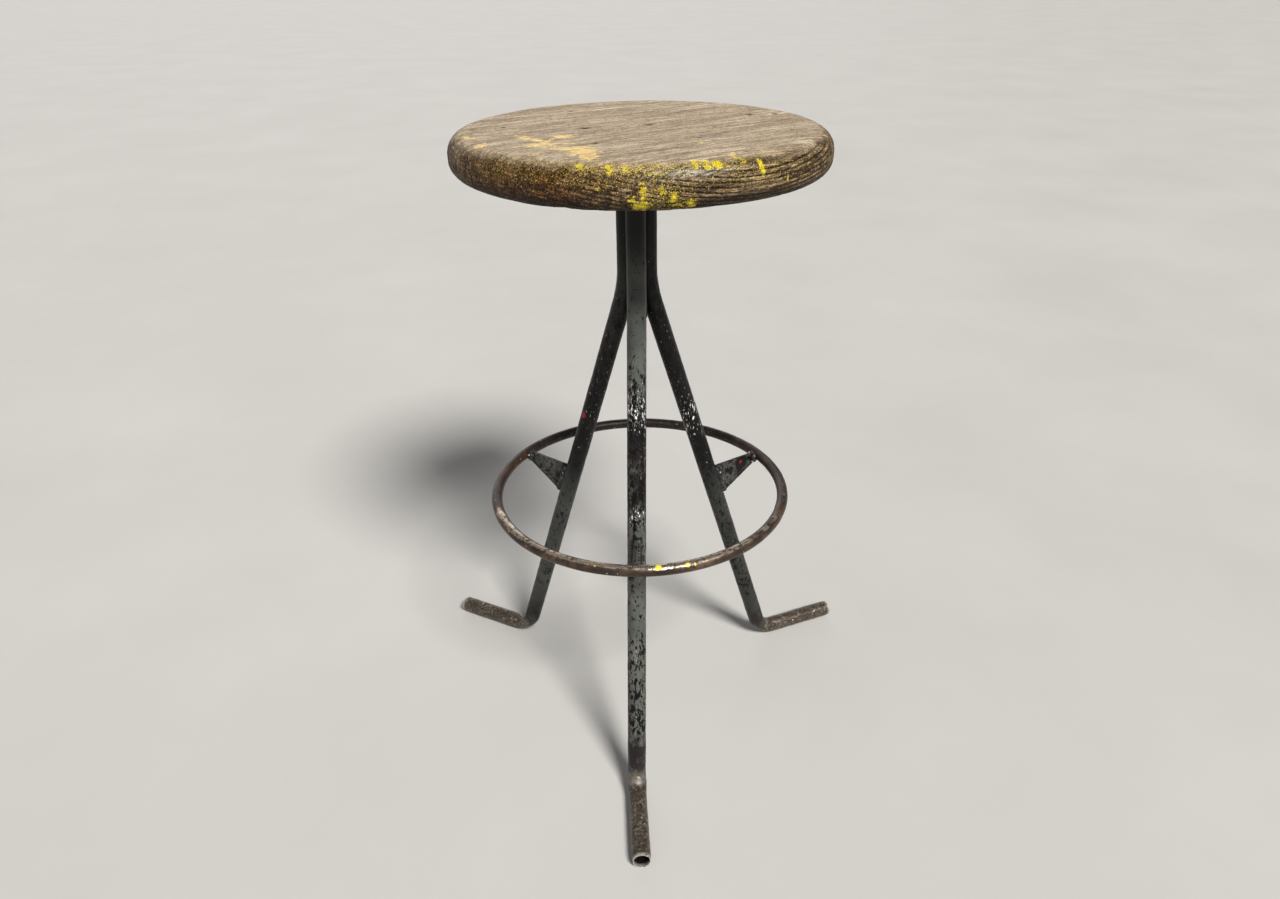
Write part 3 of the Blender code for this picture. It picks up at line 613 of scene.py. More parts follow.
def seatWoodMaterial():
    material, tree, shader = newMaterial("weatheredWood", {"Specular IOR Level": 0.16})
    place = objectPlace(tree)
    turn = (0.0, 0.0, -seat["grainTurn"])
    fibres = noiseOf(tree, stretched(tree, place, turn, (30.0, 620.0, 620.0)), 1.0, 4.0, 0.6)
    streaks = noiseOf(tree, stretched(tree, place, turn, (11.0, 170.0, 170.0)), 1.0, 5.0, 0.62, 0.25)
    pores = noiseOf(tree, stretched(tree, place, turn, (110.0, 1500.0, 1500.0)), 1.0, 2.0, 0.5)
    dashes = noiseOf(tree, stretched(tree, place, turn, (150.0, 700.0, 700.0)), 1.0, 4.0, 0.70)
    blotches = noiseOf(tree, place, 13.0, 4.0, 0.55)
    ringPart = calc(tree, "FRACT", surfaceValue(tree, "ringCount"))
    ringEdge = plus(tree, ringPart, times(tree, minus(tree, fibres, 0.5), 0.5))
    early = times(tree, rise(tree, ringEdge, 0.02, 0.20),
                  minus(tree, 1.0, rise(tree, ringEdge, 0.30, 0.58)))
    poreMask = times(tree, rise(tree, pores, 0.56, 0.70), plus(tree, 0.30, times(tree, early, 0.9)),
                     clamp=True)

    # bleached top
    speckled = noiseOf(tree, stretched(tree, place, turn, (420.0, 900.0, 900.0)), 1.0, 3.0, 0.65)
    tone = plus(tree, times(tree, streaks, 0.34), times(tree, fibres, 0.30))
    tone = plus(tree, tone, times(tree, speckled, 0.36))
    tone = plus(tree, 0.5, times(tree, minus(tree, tone, 0.5), 3.0))
    top = ramp(tree, tone, woodColours["bleached"])
    top = partly(tree, early, 0.34, top, woodColours["softRing"])
    top = partly(tree, rise(tree, blotches, 0.52, 0.72), 0.30, top, woodColours["blotch"])
    top = partly(tree, poreMask, 0.50, top, woodColours["pore"])
    top = partly(tree, rise(tree, dashes, 0.53, 0.64), 0.88, top, woodColours["darkDash"])
    top = partly(tree, minus(tree, 1.0, rise(tree, dashes, 0.34, 0.46)), 0.55, top, woodColours["paleDash"])

    # handled rim, dark between the harder rings
    rimTone = ramp(tree, tone, woodColours["rim"])
    redTone = ramp(tree, tone, woodColours["red"])
    rim = mixed(tree, surfaceValue(tree, "redStain"), rimTone, redTone)
    furrow = times(tree, times(tree, early, surfaceValue(tree, "grooveDepth")), 1.25, clamp=True)
    rim = mixed(tree, furrow, rim, woodColours["furrow"])
    rim = partly(tree, rise(tree, dashes, 0.52, 0.63), 0.80, rim, woodColours["rimDash"])
    smears = maskOf(tree, grimeGroup, stretched(tree, place, turn, (0.4, 1.0, 2.6)), 30.0, 0.62)
    rim = partly(tree, smears, 0.42, rim, woodColours["smear"])
    dust = maskOf(tree, fleckGroup, place, 560.0, 0.26, Size=0.36)
    rim = partly(tree, dust, 0.70, rim, woodColours["dust"])
    wood = mixed(tree, surfaceValue(tree, "rimDirt"), top, rim)
    # painted shade on the lower rounding and the underside, deepest under the smears
    underRimShadeMask = times(tree, surfaceValue(tree, "underRimShade"), plus(tree, 0.66, times(tree, smears, 0.34)))
    wood = mixed(tree, underRimShadeMask, wood, woodColours["underRimShadeColour"])
    # painted sheen, pale and bluish, on the rubbed front rim
    wood = partly(tree, times(tree, surfaceValue(tree, "rubbedWithPaintedSheen"), rise(tree, fibres, 0.40, 0.60)), 0.55,
                  wood, woodColours["rubbedWithPaintedSheen"])
    deep = times(tree, surfaceValue(tree, "deepMark"), 1.3, clamp=True)
    wood = mixed(tree, deep, wood, woodColours["deep"])

    # old yellow paint: whole patches, and splashes left in the pores
    breakup = noiseOf(tree, stretched(tree, place, turn, (190.0, 420.0, 420.0)), 1.0, 7.0, 0.74)
    cover = surfaceValue(tree, "paintCover")
    edgeNoise = times(tree, minus(tree, breakup, 0.5), 3.4)
    patches = rise(tree, plus(tree, cover, edgeNoise), 0.56, 0.66)
    patches = times(tree, patches, rise(tree, cover, 0.06, 0.20))
    crumbs = noiseOf(tree, place, 900.0, 5.0, 0.76)
    splashNoise = times(tree, minus(tree, crumbs, 0.5), 3.4)
    splashes = rise(tree, plus(tree, surfaceValue(tree, "paintSplash"), splashNoise), 0.66, 0.73)
    splashes = times(tree, splashes, rise(tree, surfaceValue(tree, "paintSplash"), 0.08, 0.26))
    bare = minus(tree, 1.0, times(tree, poreMask, 0.8))
    painted = times(tree, greater(tree, patches, splashes), bare)
    fresh = mixed(tree, rise(tree, crumbs, 0.38, 0.62), *woodColours["freshYellow"])
    faded = mixed(tree, rise(tree, breakup, 0.38, 0.62), *woodColours["fadedYellow"])
    yellow = mixed(tree, rise(tree, surfaceValue(tree, "rimDirt"), 0.02, 0.30), faded, fresh)
    colour = partly(tree, painted, 0.93, wood, yellow)

    roughness = plus(tree, 0.52, times(tree, fibres, 0.26))
    roughness = minus(tree, roughness, times(tree, surfaceValue(tree, "rubbedWithPaintedSheen"), 0.30))
    roughness = minus(tree, roughness, times(tree, painted, 0.16))
    height = plus(tree, times(tree, fibres, 0.55), times(tree, streaks, 0.35))
    height = minus(tree, height, times(tree, poreMask, 0.5))
    height = minus(tree, height, times(tree, early, 0.35))
    height = plus(tree, height, times(tree, painted, 0.30))
    finishMaterial(tree, shader, colour, roughness, height, 0.55, 0.0006)
    return material


buildSeat(seatWoodMaterial())
print("seat built")


# legs: the same route as the frame's tubes, with finer rings

tube = {
    "radius": 0.010, "wall": 0.002, "sides": 40, "bundle": 0.0118,
    "splay": math.radians(18.25), "splayCornerZ": 0.514, "splayRadius": 0.130, "footRadius": 0.028,
    "bendDepth": 0.88, "bendWidth": 1.06,       # the foot bend is squeezed a little
    "step": 0.004, "bendStep": 0.0016,
    "footSides": 16,                            # the frame's tubes rest on the flat of this many sides
    "filed": 0.00044,                           # rounding of the cut end
    "dents": 0.00013, "fineDents": 0.00009, "footDents": 0.00022,
    "ridge": 0.0005, "crease": 0.0011,          # inside the foot bend
    "copeGap": 0.00036, "copeOverrun": 0.020,
}
# direction, toe, foot length, painted light and shade down the tube ("shade"), and wear down the tube: each
# zone is (way from the tube's top, amount)
legs = {
    "front": {"azimuth": -90, "toe": 5, "foot": 0.097, "shift": (0.0, 0.0, 0.0),
              "shade": [(0.0, 0.95), (0.14, 1.30), (0.20, 1.30), (0.235, 0.60), (0.31, 1.25), (0.55, 1.3)],
              "chips": [(0.0, 0.24), (0.14, 0.30), (0.185, 0.72), (0.222, 0.96), (0.250, 0.60), (0.31, 0.78),
                        (0.34, 0.48), (0.42, 0.38), (0.47, 0.62), (0.55, 0.66), (0.575, 0.20), (1.0, 0.2)],
              "flecks": [(0.150, 0.0), (0.185, 0.80), (0.212, 1.0), (0.234, 0.45), (0.300, 0.50),
                         (0.311, 1.0), (0.322, 0.65), (0.340, 0.0)],
              "stain": [(0.214, 0.0), (0.232, 1.0), (0.302, 1.0), (0.312, 0.1), (0.552, 0.0), (0.560, 1.0),
                        (0.596, 1.0), (0.606, 0.0)]},
    "left": {"azimuth": 150, "toe": 5, "foot": 0.105, "shift": (3.1, 1.7, 0.4),
             "shade": [(0.0, 0.40), (0.12, 0.34), (0.20, 0.09), (0.32, 0.10), (0.365, 0.58), (0.52, 0.62)],
             "chips": [(0.0, 0.20), (0.12, 0.50), (0.19, 0.70), (0.255, 0.92), (0.30, 0.84), (0.335, 0.40),
                       (0.42, 0.46), (0.52, 0.50), (0.575, 0.2), (1.0, 0.2)],
             "flecks": [(0.10, 0.0), (0.14, 0.40), (0.19, 0.55), (0.24, 0.62), (0.29, 0.50), (0.32, 0.0),
                        (0.9, 0.0)],
             "stain": [(0.09, 0.0), (0.13, 0.55), (0.26, 0.60), (0.33, 0.0), (0.545, 0.0), (0.575, 1.0),
                       (0.60, 1.0), (0.622, 0.0)]},
    "right": {"azimuth": 30, "toe": -5, "foot": 0.105, "shift": (5.3, 2.9, 1.1),
              "shade": [(0.0, 0.30), (0.12, 0.12), (0.22, 0.09), (0.31, 0.12), (0.365, 0.46), (0.52, 0.42)],
              "chips": [(0.0, 0.20), (0.10, 0.72), (0.16, 0.86), (0.22, 0.86), (0.28, 0.88), (0.335, 0.55),
                        (0.42, 0.50), (0.52, 0.62), (0.575, 0.2), (1.0, 0.2)],
              "flecks": [(0.08, 0.0), (0.12, 0.45), (0.20, 0.55), (0.235, 0.76), (0.268, 0.88),
                         (0.290, 0.35), (0.31, 0.0), (0.9, 0.0)],
              "stain": [(0.07, 0.0), (0.11, 1.0), (0.21, 0.7), (0.30, 0.1), (0.545, 0.0), (0.575, 1.0),
                        (0.60, 1.0), (0.622, 0.0)]},
}
# spots of other paint: leg, way down the tube, angle round it from the outer side, radius, colour
legSpots = {
    "front": (0.566, 8.0, 0.0022, (0.42, 0.035, 0.035)),
    "left": (0.251, -110.0, 0.0040, (0.24, 0.014, 0.014)),
}
wearStart = 0.595     # way down the tube where the paint ends and the worn foot begins


def arcPoints(corner, before, after, radius, step):
    # (centre, direction, share) round a bend
    angle = before.angle(after)
    side = (after - before * after.dot(before)).normalized()
    start = corner - before * radius * math.tan(angle / 2)
    count = max(4, math.ceil(angle * radius / step))
    found = []
    for index in range(count + 1):
        t = angle * index / count
        found.append((start + before * radius * math.sin(t) + side * radius * (1 - math.cos(t)),
                      before * math.cos(t) + side * math.sin(t), index / count))
    return found


def legRoute(leg):
    # (centre, direction, across, squeeze) down the tube, in the leg's own x-z plane
    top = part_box("leg_front")[1].z
    footZ = tube["radius"] * math.cos(math.pi / tube["footSides"])
    footCorner = tube["bundle"] + (tube["splayCornerZ"] - footZ) * math.tan(tube["splay"])
    toe = math.radians(leg["toe"])
    down = Vector((0, 0, -1))
    along = Vector((math.sin(tube["splay"]), 0, -math.cos(tube["splay"])))
    out = Vector((math.cos(toe), math.sin(toe), 0))
    across = Vector((0, 1, 0))
    footAcross = Vector((-math.sin(toe), math.cos(toe), 0))
    upper = arcPoints(Vector((tube["bundle"], 0, tube["splayCornerZ"])), down, along, tube["splayRadius"],
                      tube["step"])
    corner = Vector((footCorner, 0, footZ))
    lower = arcPoints(corner, along, out, tube["footRadius"], tube["bendStep"])
    route = [(Vector((tube["bundle"], 0, top)), down, across, 0.0)]
    route += [(centre, heading, across, 0.0) for centre, heading, share in upper]
    for centre, heading, share in lower:
        level = across.lerp(footAcross, share)
        level = (level - heading * level.dot(heading)).normalized()
        route.append((centre, heading, level, math.sin(math.pi * share) ** 2))
    route.append((corner + out * leg["foot"], out, footAcross, 0.0))
    # straight runs are cut into short steps too
    fine = [route[0]]
    for near, far in zip(route, route[1:]):
        pieces = max(1, round((far[0] - near[0]).length / tube["step"]))
        for index in range(1, pieces + 1):
            share = index / pieces
            fine.append((near[0].lerp(far[0], share), near[1].lerp(far[1], share).normalized(),
                         near[2].lerp(far[2], share).normalized(), near[3] + (far[3] - near[3]) * share))
    return fine


def tubeWalls(route, runs):
    # points of both walls, way down the tube, angle round it, and whether it is the outer wall
    walls, way, roundTube, wallNumber = [], [], [], []
    for wall, inset in enumerate((0.0, tube["wall"])):
        for index, (centre, heading, across, squeeze) in enumerate(route):
            depth = heading.cross(across)
            # the cut end is filed round a little
            ends = tube["filed"] if index == len(route) - 1 else 0.0
            size = tube["radius"] - inset + (ends if wall else -ends)
            tall = size * (1 + (tube["bendDepth"] - 1) * squeeze)
            wide = size * (1 + (tube["bendWidth"] - 1) * squeeze)
            for side in range(tube["sides"]):
                angle = 2 * math.pi * (side + 0.5) / tube["sides"]
                offset = depth * tall * math.cos(angle) + across * wide * math.sin(angle)
                walls.append(centre + offset)
                way.append(runs[index])
                roundTube.append(angle)
                wallNumber.append(wall)
    points = np.array([tuple(p) for p in walls])
    return points, np.array(way), np.array(roundTube), np.array(wallNumber) == 0


def tubeDents(points, way, roundAngle, bendWay, seed):
    # hammered and knocked surface, and the crease inside the foot bend with the ridge beside it
    dents = tube["dents"] * (cellNoise(points * 75 + seed, 21) - 1)
    dents = dents + tube["fineDents"] * (cellNoise(points * 230, 22) - 1)
    rough = smoothRise(way, wearStart - 0.02, wearStart + 0.02)
    dents += rough * tube["footDents"] * (cellNoise(points * 150, 23) - 1)
    inside = np.clip(np.cos(roundAngle), 0, 1)
    crease = np.exp(-((way - bendWay + 0.0105) / 0.0045) ** 2) * inside ** 0.8
    ridge = np.exp(-((way - bendWay + 0.0010) / 0.0035) ** 2) * inside ** 0.8
    dents += tube["ridge"] * ridge - tube["crease"] * crease
    return dents, ridge


def buildLeg(name, leg, material):
    route = legRoute(leg)
    sides = tube["sides"]
    runs = [0.0]
    for near, far in zip(route, route[1:]):
        runs.append(runs[-1] + (far[0] - near[0]).length)
    total = runs[-1]
    points, way, roundAngle, outer = tubeWalls(route, runs)
    centres = np.repeat(np.array([tuple(s[0]) for s in route] * 2), sides, axis=0)
    normal = points - centres
    normal /= np.linalg.norm(normal, axis=1)[:, None]
    bendWay = runs[max(range(len(route)), key=lambda i: route[i][3])]
    dents, ridge = tubeDents(points, way, roundAngle, bendWay, len(name))
    points[outer] += normal[outer] * dents[outer][:, None]
    points[:, 2] = np.where(outer, np.maximum(points[:, 2], 0.0), points[:, 2])
    count = len(route)
    faces = gridFaces(count, sides) + gridFaces(count, sides, first=count * sides)
    for end in (0, count - 1):
        for side in range(sides):
            after = (side + 1) % sides
            first, second = end * sides, (count + end) * sides
            faces.append((first + side, first + after, second + after, second + side))
    spin = Matrix.Rotation(math.radians(leg["azimuth"]), 3, "Z")
    verts = [spin @ Vector(p) + axis for p in points]
    spot = legSpots.get(name)
    values = {"tubeWay": way, "tubeInside": (~outer).astype(float),
              "cutEnd": smoothRise(way, total - 0.0030, total - 0.0010), "paintedBendHighlight": ridge * outer}
    if spot:
        down, turn, size = spot[:3]
        aside = turnFrom(turn, np.degrees(roundAngle) - 180)
        far = np.hypot(way - down, np.radians(aside) * tube["radius"])
        values["spot"] = 1 - smoothRise(far, size * 0.5, size * 1.5)
    piece = meshObject("leg_tube_" + name, verts, faces, material, "frame", ("leg_" + name,),
                       50.0, values)
    # the three tops are coped round the guide tube
    low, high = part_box("guide_tube")
    radius = (high.x - low.x) / 2 + tube["copeGap"]
    outline = [(radius, low.z - tube["copeOverrun"]), (radius, high.z + tube["copeOverrun"])]
    cutAway(piece, *turned(outline, 64, axis, False))


tubeColours = {
    "grey": [(0.32, (0.048, 0.051, 0.047)), (0.5, (0.070, 0.074, 0.065)), (0.68, (0.100, 0.101, 0.085))],
    "primer": [(0.35, (0.010, 0.0085, 0.0085)), (0.65, (0.024, 0.017, 0.017))],
    "chip": (0.0030, 0.0028, 0.0027), "bareMetal": (0.92, 0.91, 0.87),
    "foot": [(0.30, (0.022, 0.015, 0.011)), (0.46, (0.072, 0.056, 0.042)),
             (0.58, (0.150, 0.126, 0.097)), (0.72, (0.46, 0.42, 0.35))],
    "footPatch": (0.052, 0.038, 0.028), "footFleck": (0.66, 0.62, 0.50), "soot": (0.020, 0.018, 0.016),
    # the grime colour is the near-black painted shade under the seat
    "grime": (0.0030, 0.0030, 0.0030), "hollow": (0.014, 0.010, 0.008), "filed": (0.70, 0.67, 0.60),
    # ridge is the colour of the painted highlight on the foot bend
    "ridge": (0.30, 0.285, 0.265),
}


def legMaterial(name, leg):
    material, tree, shader = newMaterial("greyTubePaint_" + name, {"Specular IOR Level": 0.17})
    place = addNode(tree, "VectorMath", {0: objectPlace(tree), 1: leg["shift"]},
                    operation="ADD").outputs["Vector"]
    drawn = stretched(tree, place, (0.0, 0.0, 0.0), (1.0, 1.0, 0.48))
    way = surfaceValue(tree, "tubeWay")
    amount = ramp(tree, way, leg["chips"])
    tint = noiseOf(tree, place, 26.0, 4.0, 0.6)
    paint = ramp(tree, tint, tubeColours["grey"])
    # painted light and shade down each tube: the left and right legs much darker, the front leg lighter
    paint = mixed(tree, 1.0, paint, ramp(tree, way, leg["shade"]), "MULTIPLY")
    # brown purple primer where the grey has worn thin
    thin = noiseOf(tree, place, 60.0, 5.0, 0.65)
    stain = times(tree, ramp(tree, way, leg["stain"]), rise(tree, thin, 0.36, 0.52))
    paint = mixed(tree, stain, paint, ramp(tree, tint, tubeColours["primer"]))
    chips = maskOf(tree, chipGroup, drawn, 215.0, amount, Softness=0.02)
    small = maskOf(tree, chipGroup, drawn, 460.0, times(tree, amount, 0.92), Softness=0.03)
    chipped = greater(tree, chips, small)
    colour = mixed(tree, chipped, paint, tubeColours["chip"])
    # bright metal left by knocks
    crumbs = noiseOf(tree, drawn, 430.0, 5.0, 0.72)
    streaked = noiseOf(tree, stretched(tree, place, (0.0, 0.0, 0.0), (1.2, 1.2, 0.26)), 460.0, 5.0, 0.74)
    fleckShare = ramp(tree, way, leg["flecks"])
    fleckEdge = minus(tree, 0.76, times(tree, fleckShare, 0.212))
    bright = times(tree, minus(tree, streaked, fleckEdge), 30.0, clamp=True)
    dots = maskOf(tree, fleckGroup, place, 330.0, 0.045, Size=0.28)
    metal = greater(tree, bright, times(tree, dots, 0.40))
    colour = mixed(tree, metal, colour, tubeColours["bareMetal"])
    # worn foot
    foot = plus(tree, way, times(tree, minus(tree, thin, 0.5), 0.06))
    foot = rise(tree, foot, wearStart, wearStart + 0.014)
    scuffs = noiseOf(tree, place, 300.0, 7.0, 0.72)
    footColour = ramp(tree, scuffs, tubeColours["foot"])
    smooth = noiseOf(tree, place, 44.0, 4.0, 0.6)
    footColour = partly(tree, rise(tree, smooth, 0.46, 0.64), 0.50, footColour, tubeColours["footPatch"])
    colour = mixed(tree, foot, colour, footColour)
    soot = maskOf(tree, grimeGroup, place, 48.0, 0.5)
    colour = partly(tree, soot, 0.40, colour, tubeColours["soot"])
    tips = times(tree, maskOf(tree, fleckGroup, place, 300.0, 0.15, Size=0.34), foot)
    colour = mixed(tree, tips, colour, tubeColours["footFleck"])
    if name in legSpots:
        edge = plus(tree, surfaceValue(tree, "spot"), times(tree, minus(tree, crumbs, 0.5), 1.2))
        colour = mixed(tree, rise(tree, edge, 0.48, 0.56), colour, legSpots[name][3])
    # painted shade just under the head, where the seat shades the tubes
    underSeatShade = minus(tree, 1.0, rise(tree, way, 0.020, 0.105))
    colour = partly(tree, underSeatShade, 0.93, colour, tubeColours["grime"])
    hollow = surfaceValue(tree, "tubeInside")
    colour = mixed(tree, hollow, colour, tubeColours["hollow"])
    filed = times(tree, surfaceValue(tree, "cutEnd"), rise(tree, crumbs, 0.36, 0.52))
    colour = partly(tree, filed, 0.85, colour, tubeColours["filed"])
    # painted highlight on the ridge below the foot-bend crease
    colour = partly(tree, surfaceValue(tree, "paintedBendHighlight"), 0.50, colour, tubeColours["ridge"])
    roughness = plus(tree, 0.24, times(tree, scuffs, 0.20))
    roughness = plus(tree, roughness, times(tree, surfaceValue(tree, "paintedBendHighlight"), 0.22))
    roughness = plus(tree, roughness, times(tree, greater(tree, chipped, underSeatShade), 0.10))
    metallic = times(tree, greater(tree, times(tree, metal, 0.5), foot), 0.45)
    height = minus(tree, times(tree, scuffs, 0.35), times(tree, chipped, 0.55))
    height = minus(tree, height, times(tree, bright, 0.25))
    finishMaterial(tree, shader, colour, roughness, height, 0.5, 0.0003, metallic)
    return material


legMaterials = {name: legMaterial(name, leg) for name, leg in legs.items()}
for name, leg in legs.items():
    buildLeg(name, leg, legMaterials[name])
print("legs built")


# foot ring

ring = {"segments": 420, "sides": 28, "dents": 0.00010, "fineDents": 0.00006,
        "seamAngle": 96.0, "seamDepth": 0.00045, "seamLip": 0.00008}
# paint drops on the ring: angle round it, angle round the rod from the outer side, radius
ringDrops = [(-81.6, 62.0, 0.0034), (-71.3, 50.0, 0.0026), (-68.5, 40.0, 0.0016), (-104.0, 55.0, 0.0012)]


def buildRing(material):
    low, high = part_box("foot_ring")
    rod = (high.z - low.z) / 2
    big = (high.x - low.x) / 2 - rod
    middle = (low + high) / 2
    angles = np.repeat(np.linspace(0, 2 * math.pi, ring["segments"], endpoint=False), ring["sides"])
    rods = np.tile(np.linspace(0, 2 * math.pi, ring["sides"], endpoint=False), ring["segments"])
    outR, outZ = np.cos(rods), np.sin(rods)
    flatPoints = np.stack([(big + rod * outR) * np.cos(angles), (big + rod * outR) * np.sin(angles),
                           rod * outZ], axis=1)
    size = rod + ring["dents"] * (cellNoise(flatPoints * 60, 31) - 1)
    size = size + ring["fineDents"] * (cellNoise(flatPoints * 260, 32) - 1)
    # the two ends of the rod meet in a filed weld
    seam = turnFrom(ring["seamAngle"], np.degrees(angles))
    size -= ring["seamDepth"] * np.exp(-(seam / 0.5) ** 2) - ring["seamLip"] * np.exp(-(seam / 2.0) ** 2)
    verts = np.stack([middle.x + (big + size * outR) * np.cos(angles),
                      middle.y + (big + size * outR) * np.sin(angles), middle.z + size * outZ], axis=1)
    drops = np.zeros(len(verts))
    for angle, rodAngle, radius in ringDrops:
        a = np.radians(turnFrom(angle, np.degrees(angles))) * big
        b = np.radians(turnFrom(rodAngle, np.degrees(rods))) * rod
        drops = np.maximum(drops, 1 - smoothRise(np.hypot(a, b), radius * 0.4, radius * 1.6))
    # share from the back round to the front, for the painted shade, and the upper side towards the front,
    # for the polish and painted highlight
    front = 0.5 - 0.5 * np.sin(angles)
    rubbedWithPaintedSheen = np.clip(outR * 0.25 + outZ * 0.95, 0, 1) ** 2 * (0.25 + 0.75 * front)
    faces = gridFaces(ring["segments"], ring["sides"], wrapRows=True)
    values = {"drop": drops, "rubbedWithPaintedSheen": rubbedWithPaintedSheen, "frontShare": front}
    return meshObject("foot_ring_rod", verts, faces, material, "frame", ("foot_ring",),
                      50.0, values)


ringColours = {
    "brown": [(0.34, (0.020, 0.010, 0.006)), (0.50, (0.064, 0.036, 0.022)), (0.64, (0.140, 0.088, 0.056))],
    # painted shade: the ring darker at the back and lighter at the sides
    "shade": [(0.10, 0.26), (0.45, 1.15), (0.95, 0.80)],      # from the back round to the front
    "polishedWithPaintedHighlight": (0.68, 0.555, 0.42), "pit": (0.007, 0.005, 0.004), "grey": (0.084, 0.070, 0.058),
    "fleck": (0.62, 0.58, 0.50), "drop": (0.80, 0.58, 0.03),
}


def ringMaterial():
    material, tree, shader = newMaterial("wornRingSteel", {"Specular IOR Level": 0.5})
    place = objectPlace(tree)
    brown = noiseOf(tree, place, 34.0, 6.0, 0.62)
    colour = ramp(tree, brown, ringColours["brown"])
    # painted shade, darker at the back of the ring
    shade = ramp(tree, surfaceValue(tree, "frontShare"), ringColours["shade"])
    colour = mixed(tree, 1.0, colour, shade, "MULTIPLY")
    wear = noiseOf(tree, place, 22.0, 6.0, 0.66)
    # polish from shoes with a painted highlight, most on the upper front
    rubbedWithPaintedSheen = plus(tree, times(tree, surfaceValue(tree, "rubbedWithPaintedSheen"), 0.42), times(tree, wear, 0.85))
    polishedWithPaintedHighlight = rise(tree, rubbedWithPaintedSheen, 0.67, 0.83)
    colour = partly(tree, polishedWithPaintedHighlight, 0.88, colour, ringColours["polishedWithPaintedHighlight"])
    pitsMask = maskOf(tree, chipGroup, place, 260.0, 0.60, Softness=0.03)
    colour = partly(tree, pitsMask, 0.92, colour, ringColours["pit"])
    grey = maskOf(tree, grimeGroup, place, 17.0, 0.48)
    colour = partly(tree, grey, 0.30, colour, ringColours["grey"])
    dots = maskOf(tree, fleckGroup, place, 380.0, 0.06, Size=0.32)
    colour = mixed(tree, dots, colour, ringColours["fleck"])
    crumbs = noiseOf(tree, place, 420.0, 4.0, 0.7)
    edge = plus(tree, surfaceValue(tree, "drop"), times(tree, minus(tree, crumbs, 0.5), 1.1))
    yellow = rise(tree, edge, 0.50, 0.57)
    colour = mixed(tree, yellow, colour, ringColours["drop"])
    metallic = times(tree, minus(tree, 1.0, greater(tree, yellow, pitsMask)),
                     plus(tree, 0.45, times(tree, polishedWithPaintedHighlight, 0.5)))
    roughness = minus(tree, 0.38, times(tree, polishedWithPaintedHighlight, 0.14))
    roughness = plus(tree, roughness, times(tree, crumbs, 0.08))
    height = minus(tree, times(tree, brown, 0.5), times(tree, pitsMask, 0.6))
    finishMaterial(tree, shader, colour, roughness, height, 0.45, 0.0003, metallic)
    return material


buildRing(ringMaterial())
print("foot ring built")


# gussets and their welds

gusset = {"bevel": 0.0006, "weldRadius": 0.0034}
# beads at the plate's two ends: where the low and the high end lie, how far out the high end leans
legBead = {"low": (0.0002, 0.0015), "high": (0.0002, -0.0010), "lean": 1.0, "thick": 1.0}
ringBead = {"low": (-0.0008, 0.0010), "high": (-0.0004, 0.0006), "lean": 1.1, "thick": 1.15}
# the drop of weld metal under the ring in front: start and end from the plate's low corner, radius
weldDrop = {"from": (0.0030, -0.0060, -0.0042), "to": (0.0006, 0.0004, -0.0012), "radius": 0.0032}
# a chip with some red left in it, on the right plate: way from the axis, height, radius
redChip = {"reach": 0.1345, "z": 0.2775, "black": 0.0090, "red": 0.0024}
plateColours = {
    "grey": [(0.34, (0.028, 0.029, 0.027)), (0.52, (0.050, 0.051, 0.047)), (0.70, (0.082, 0.078, 0.068))],
    "chip": (0.0050, 0.0045, 0.0042), "red": (0.20, 0.014, 0.016), "soot": (0.020, 0.016, 0.014),
    "fleck": (0.50, 0.47, 0.43),
}
weldColours = {
    # dark weld metal, darkened further as painted shade, as the drop under the ring sits in shade
    "metal": [(0.38, (0.004, 0.003, 0.003)), (0.52, (0.017, 0.016, 0.014)), (0.66, (0.080, 0.072, 0.062))],
    "fleck": (0.78, 0.75, 0.70),
}


def platePaintMaterial():
    material, tree, shader = newMaterial("greyPlatePaint", {"Specular IOR Level": 0.17})
    place = objectPlace(tree)
    tint = noiseOf(tree, place, 40.0, 4.0, 0.6)
    colour = ramp(tree, tint, plateColours["grey"])
    chips = maskOf(tree, chipGroup, place, 120.0, 0.62, Softness=0.02)
    small = maskOf(tree, chipGroup, place, 380.0, 0.56, Softness=0.03)
    chipped = greater(tree, chips, small)
    azimuth = math.radians(legs["right"]["azimuth"])
    chipPlace = axis + Vector((redChip["reach"] * math.cos(azimuth), redChip["reach"] * math.sin(azimuth),
                               redChip["z"]))
    far = addNode(tree, "VectorMath", {0: place, 1: tuple(chipPlace)},
                  operation="DISTANCE").outputs["Value"]
    far = plus(tree, far, times(tree, minus(tree, noiseOf(tree, place, 220.0, 5.0, 0.7), 0.5), 0.012))
    chipped = greater(tree, chipped, calc(tree, "LESS_THAN", far, redChip["black"]))
    colour = mixed(tree, chipped, colour, plateColours["chip"])
    colour = mixed(tree, calc(tree, "LESS_THAN", far, redChip["red"]), colour, plateColours["red"])
    soot = maskOf(tree, grimeGroup, place, 60.0, 0.5)
    colour = partly(tree, soot, 0.45, colour, plateColours["soot"])
    dots = maskOf(tree, fleckGroup, place, 300.0, 0.08, Size=0.32)
    colour = mixed(tree, dots, colour, plateColours["fleck"])
    roughness = plus(tree, 0.26, times(tree, tint, 0.2))
    height = minus(tree, times(tree, tint, 0.3), times(tree, chipped, 0.6))
    metallic = times(tree, dots, 0.6)
    finishMaterial(tree, shader, colour, roughness, height, 0.5, 0.0003, metallic)
    return material


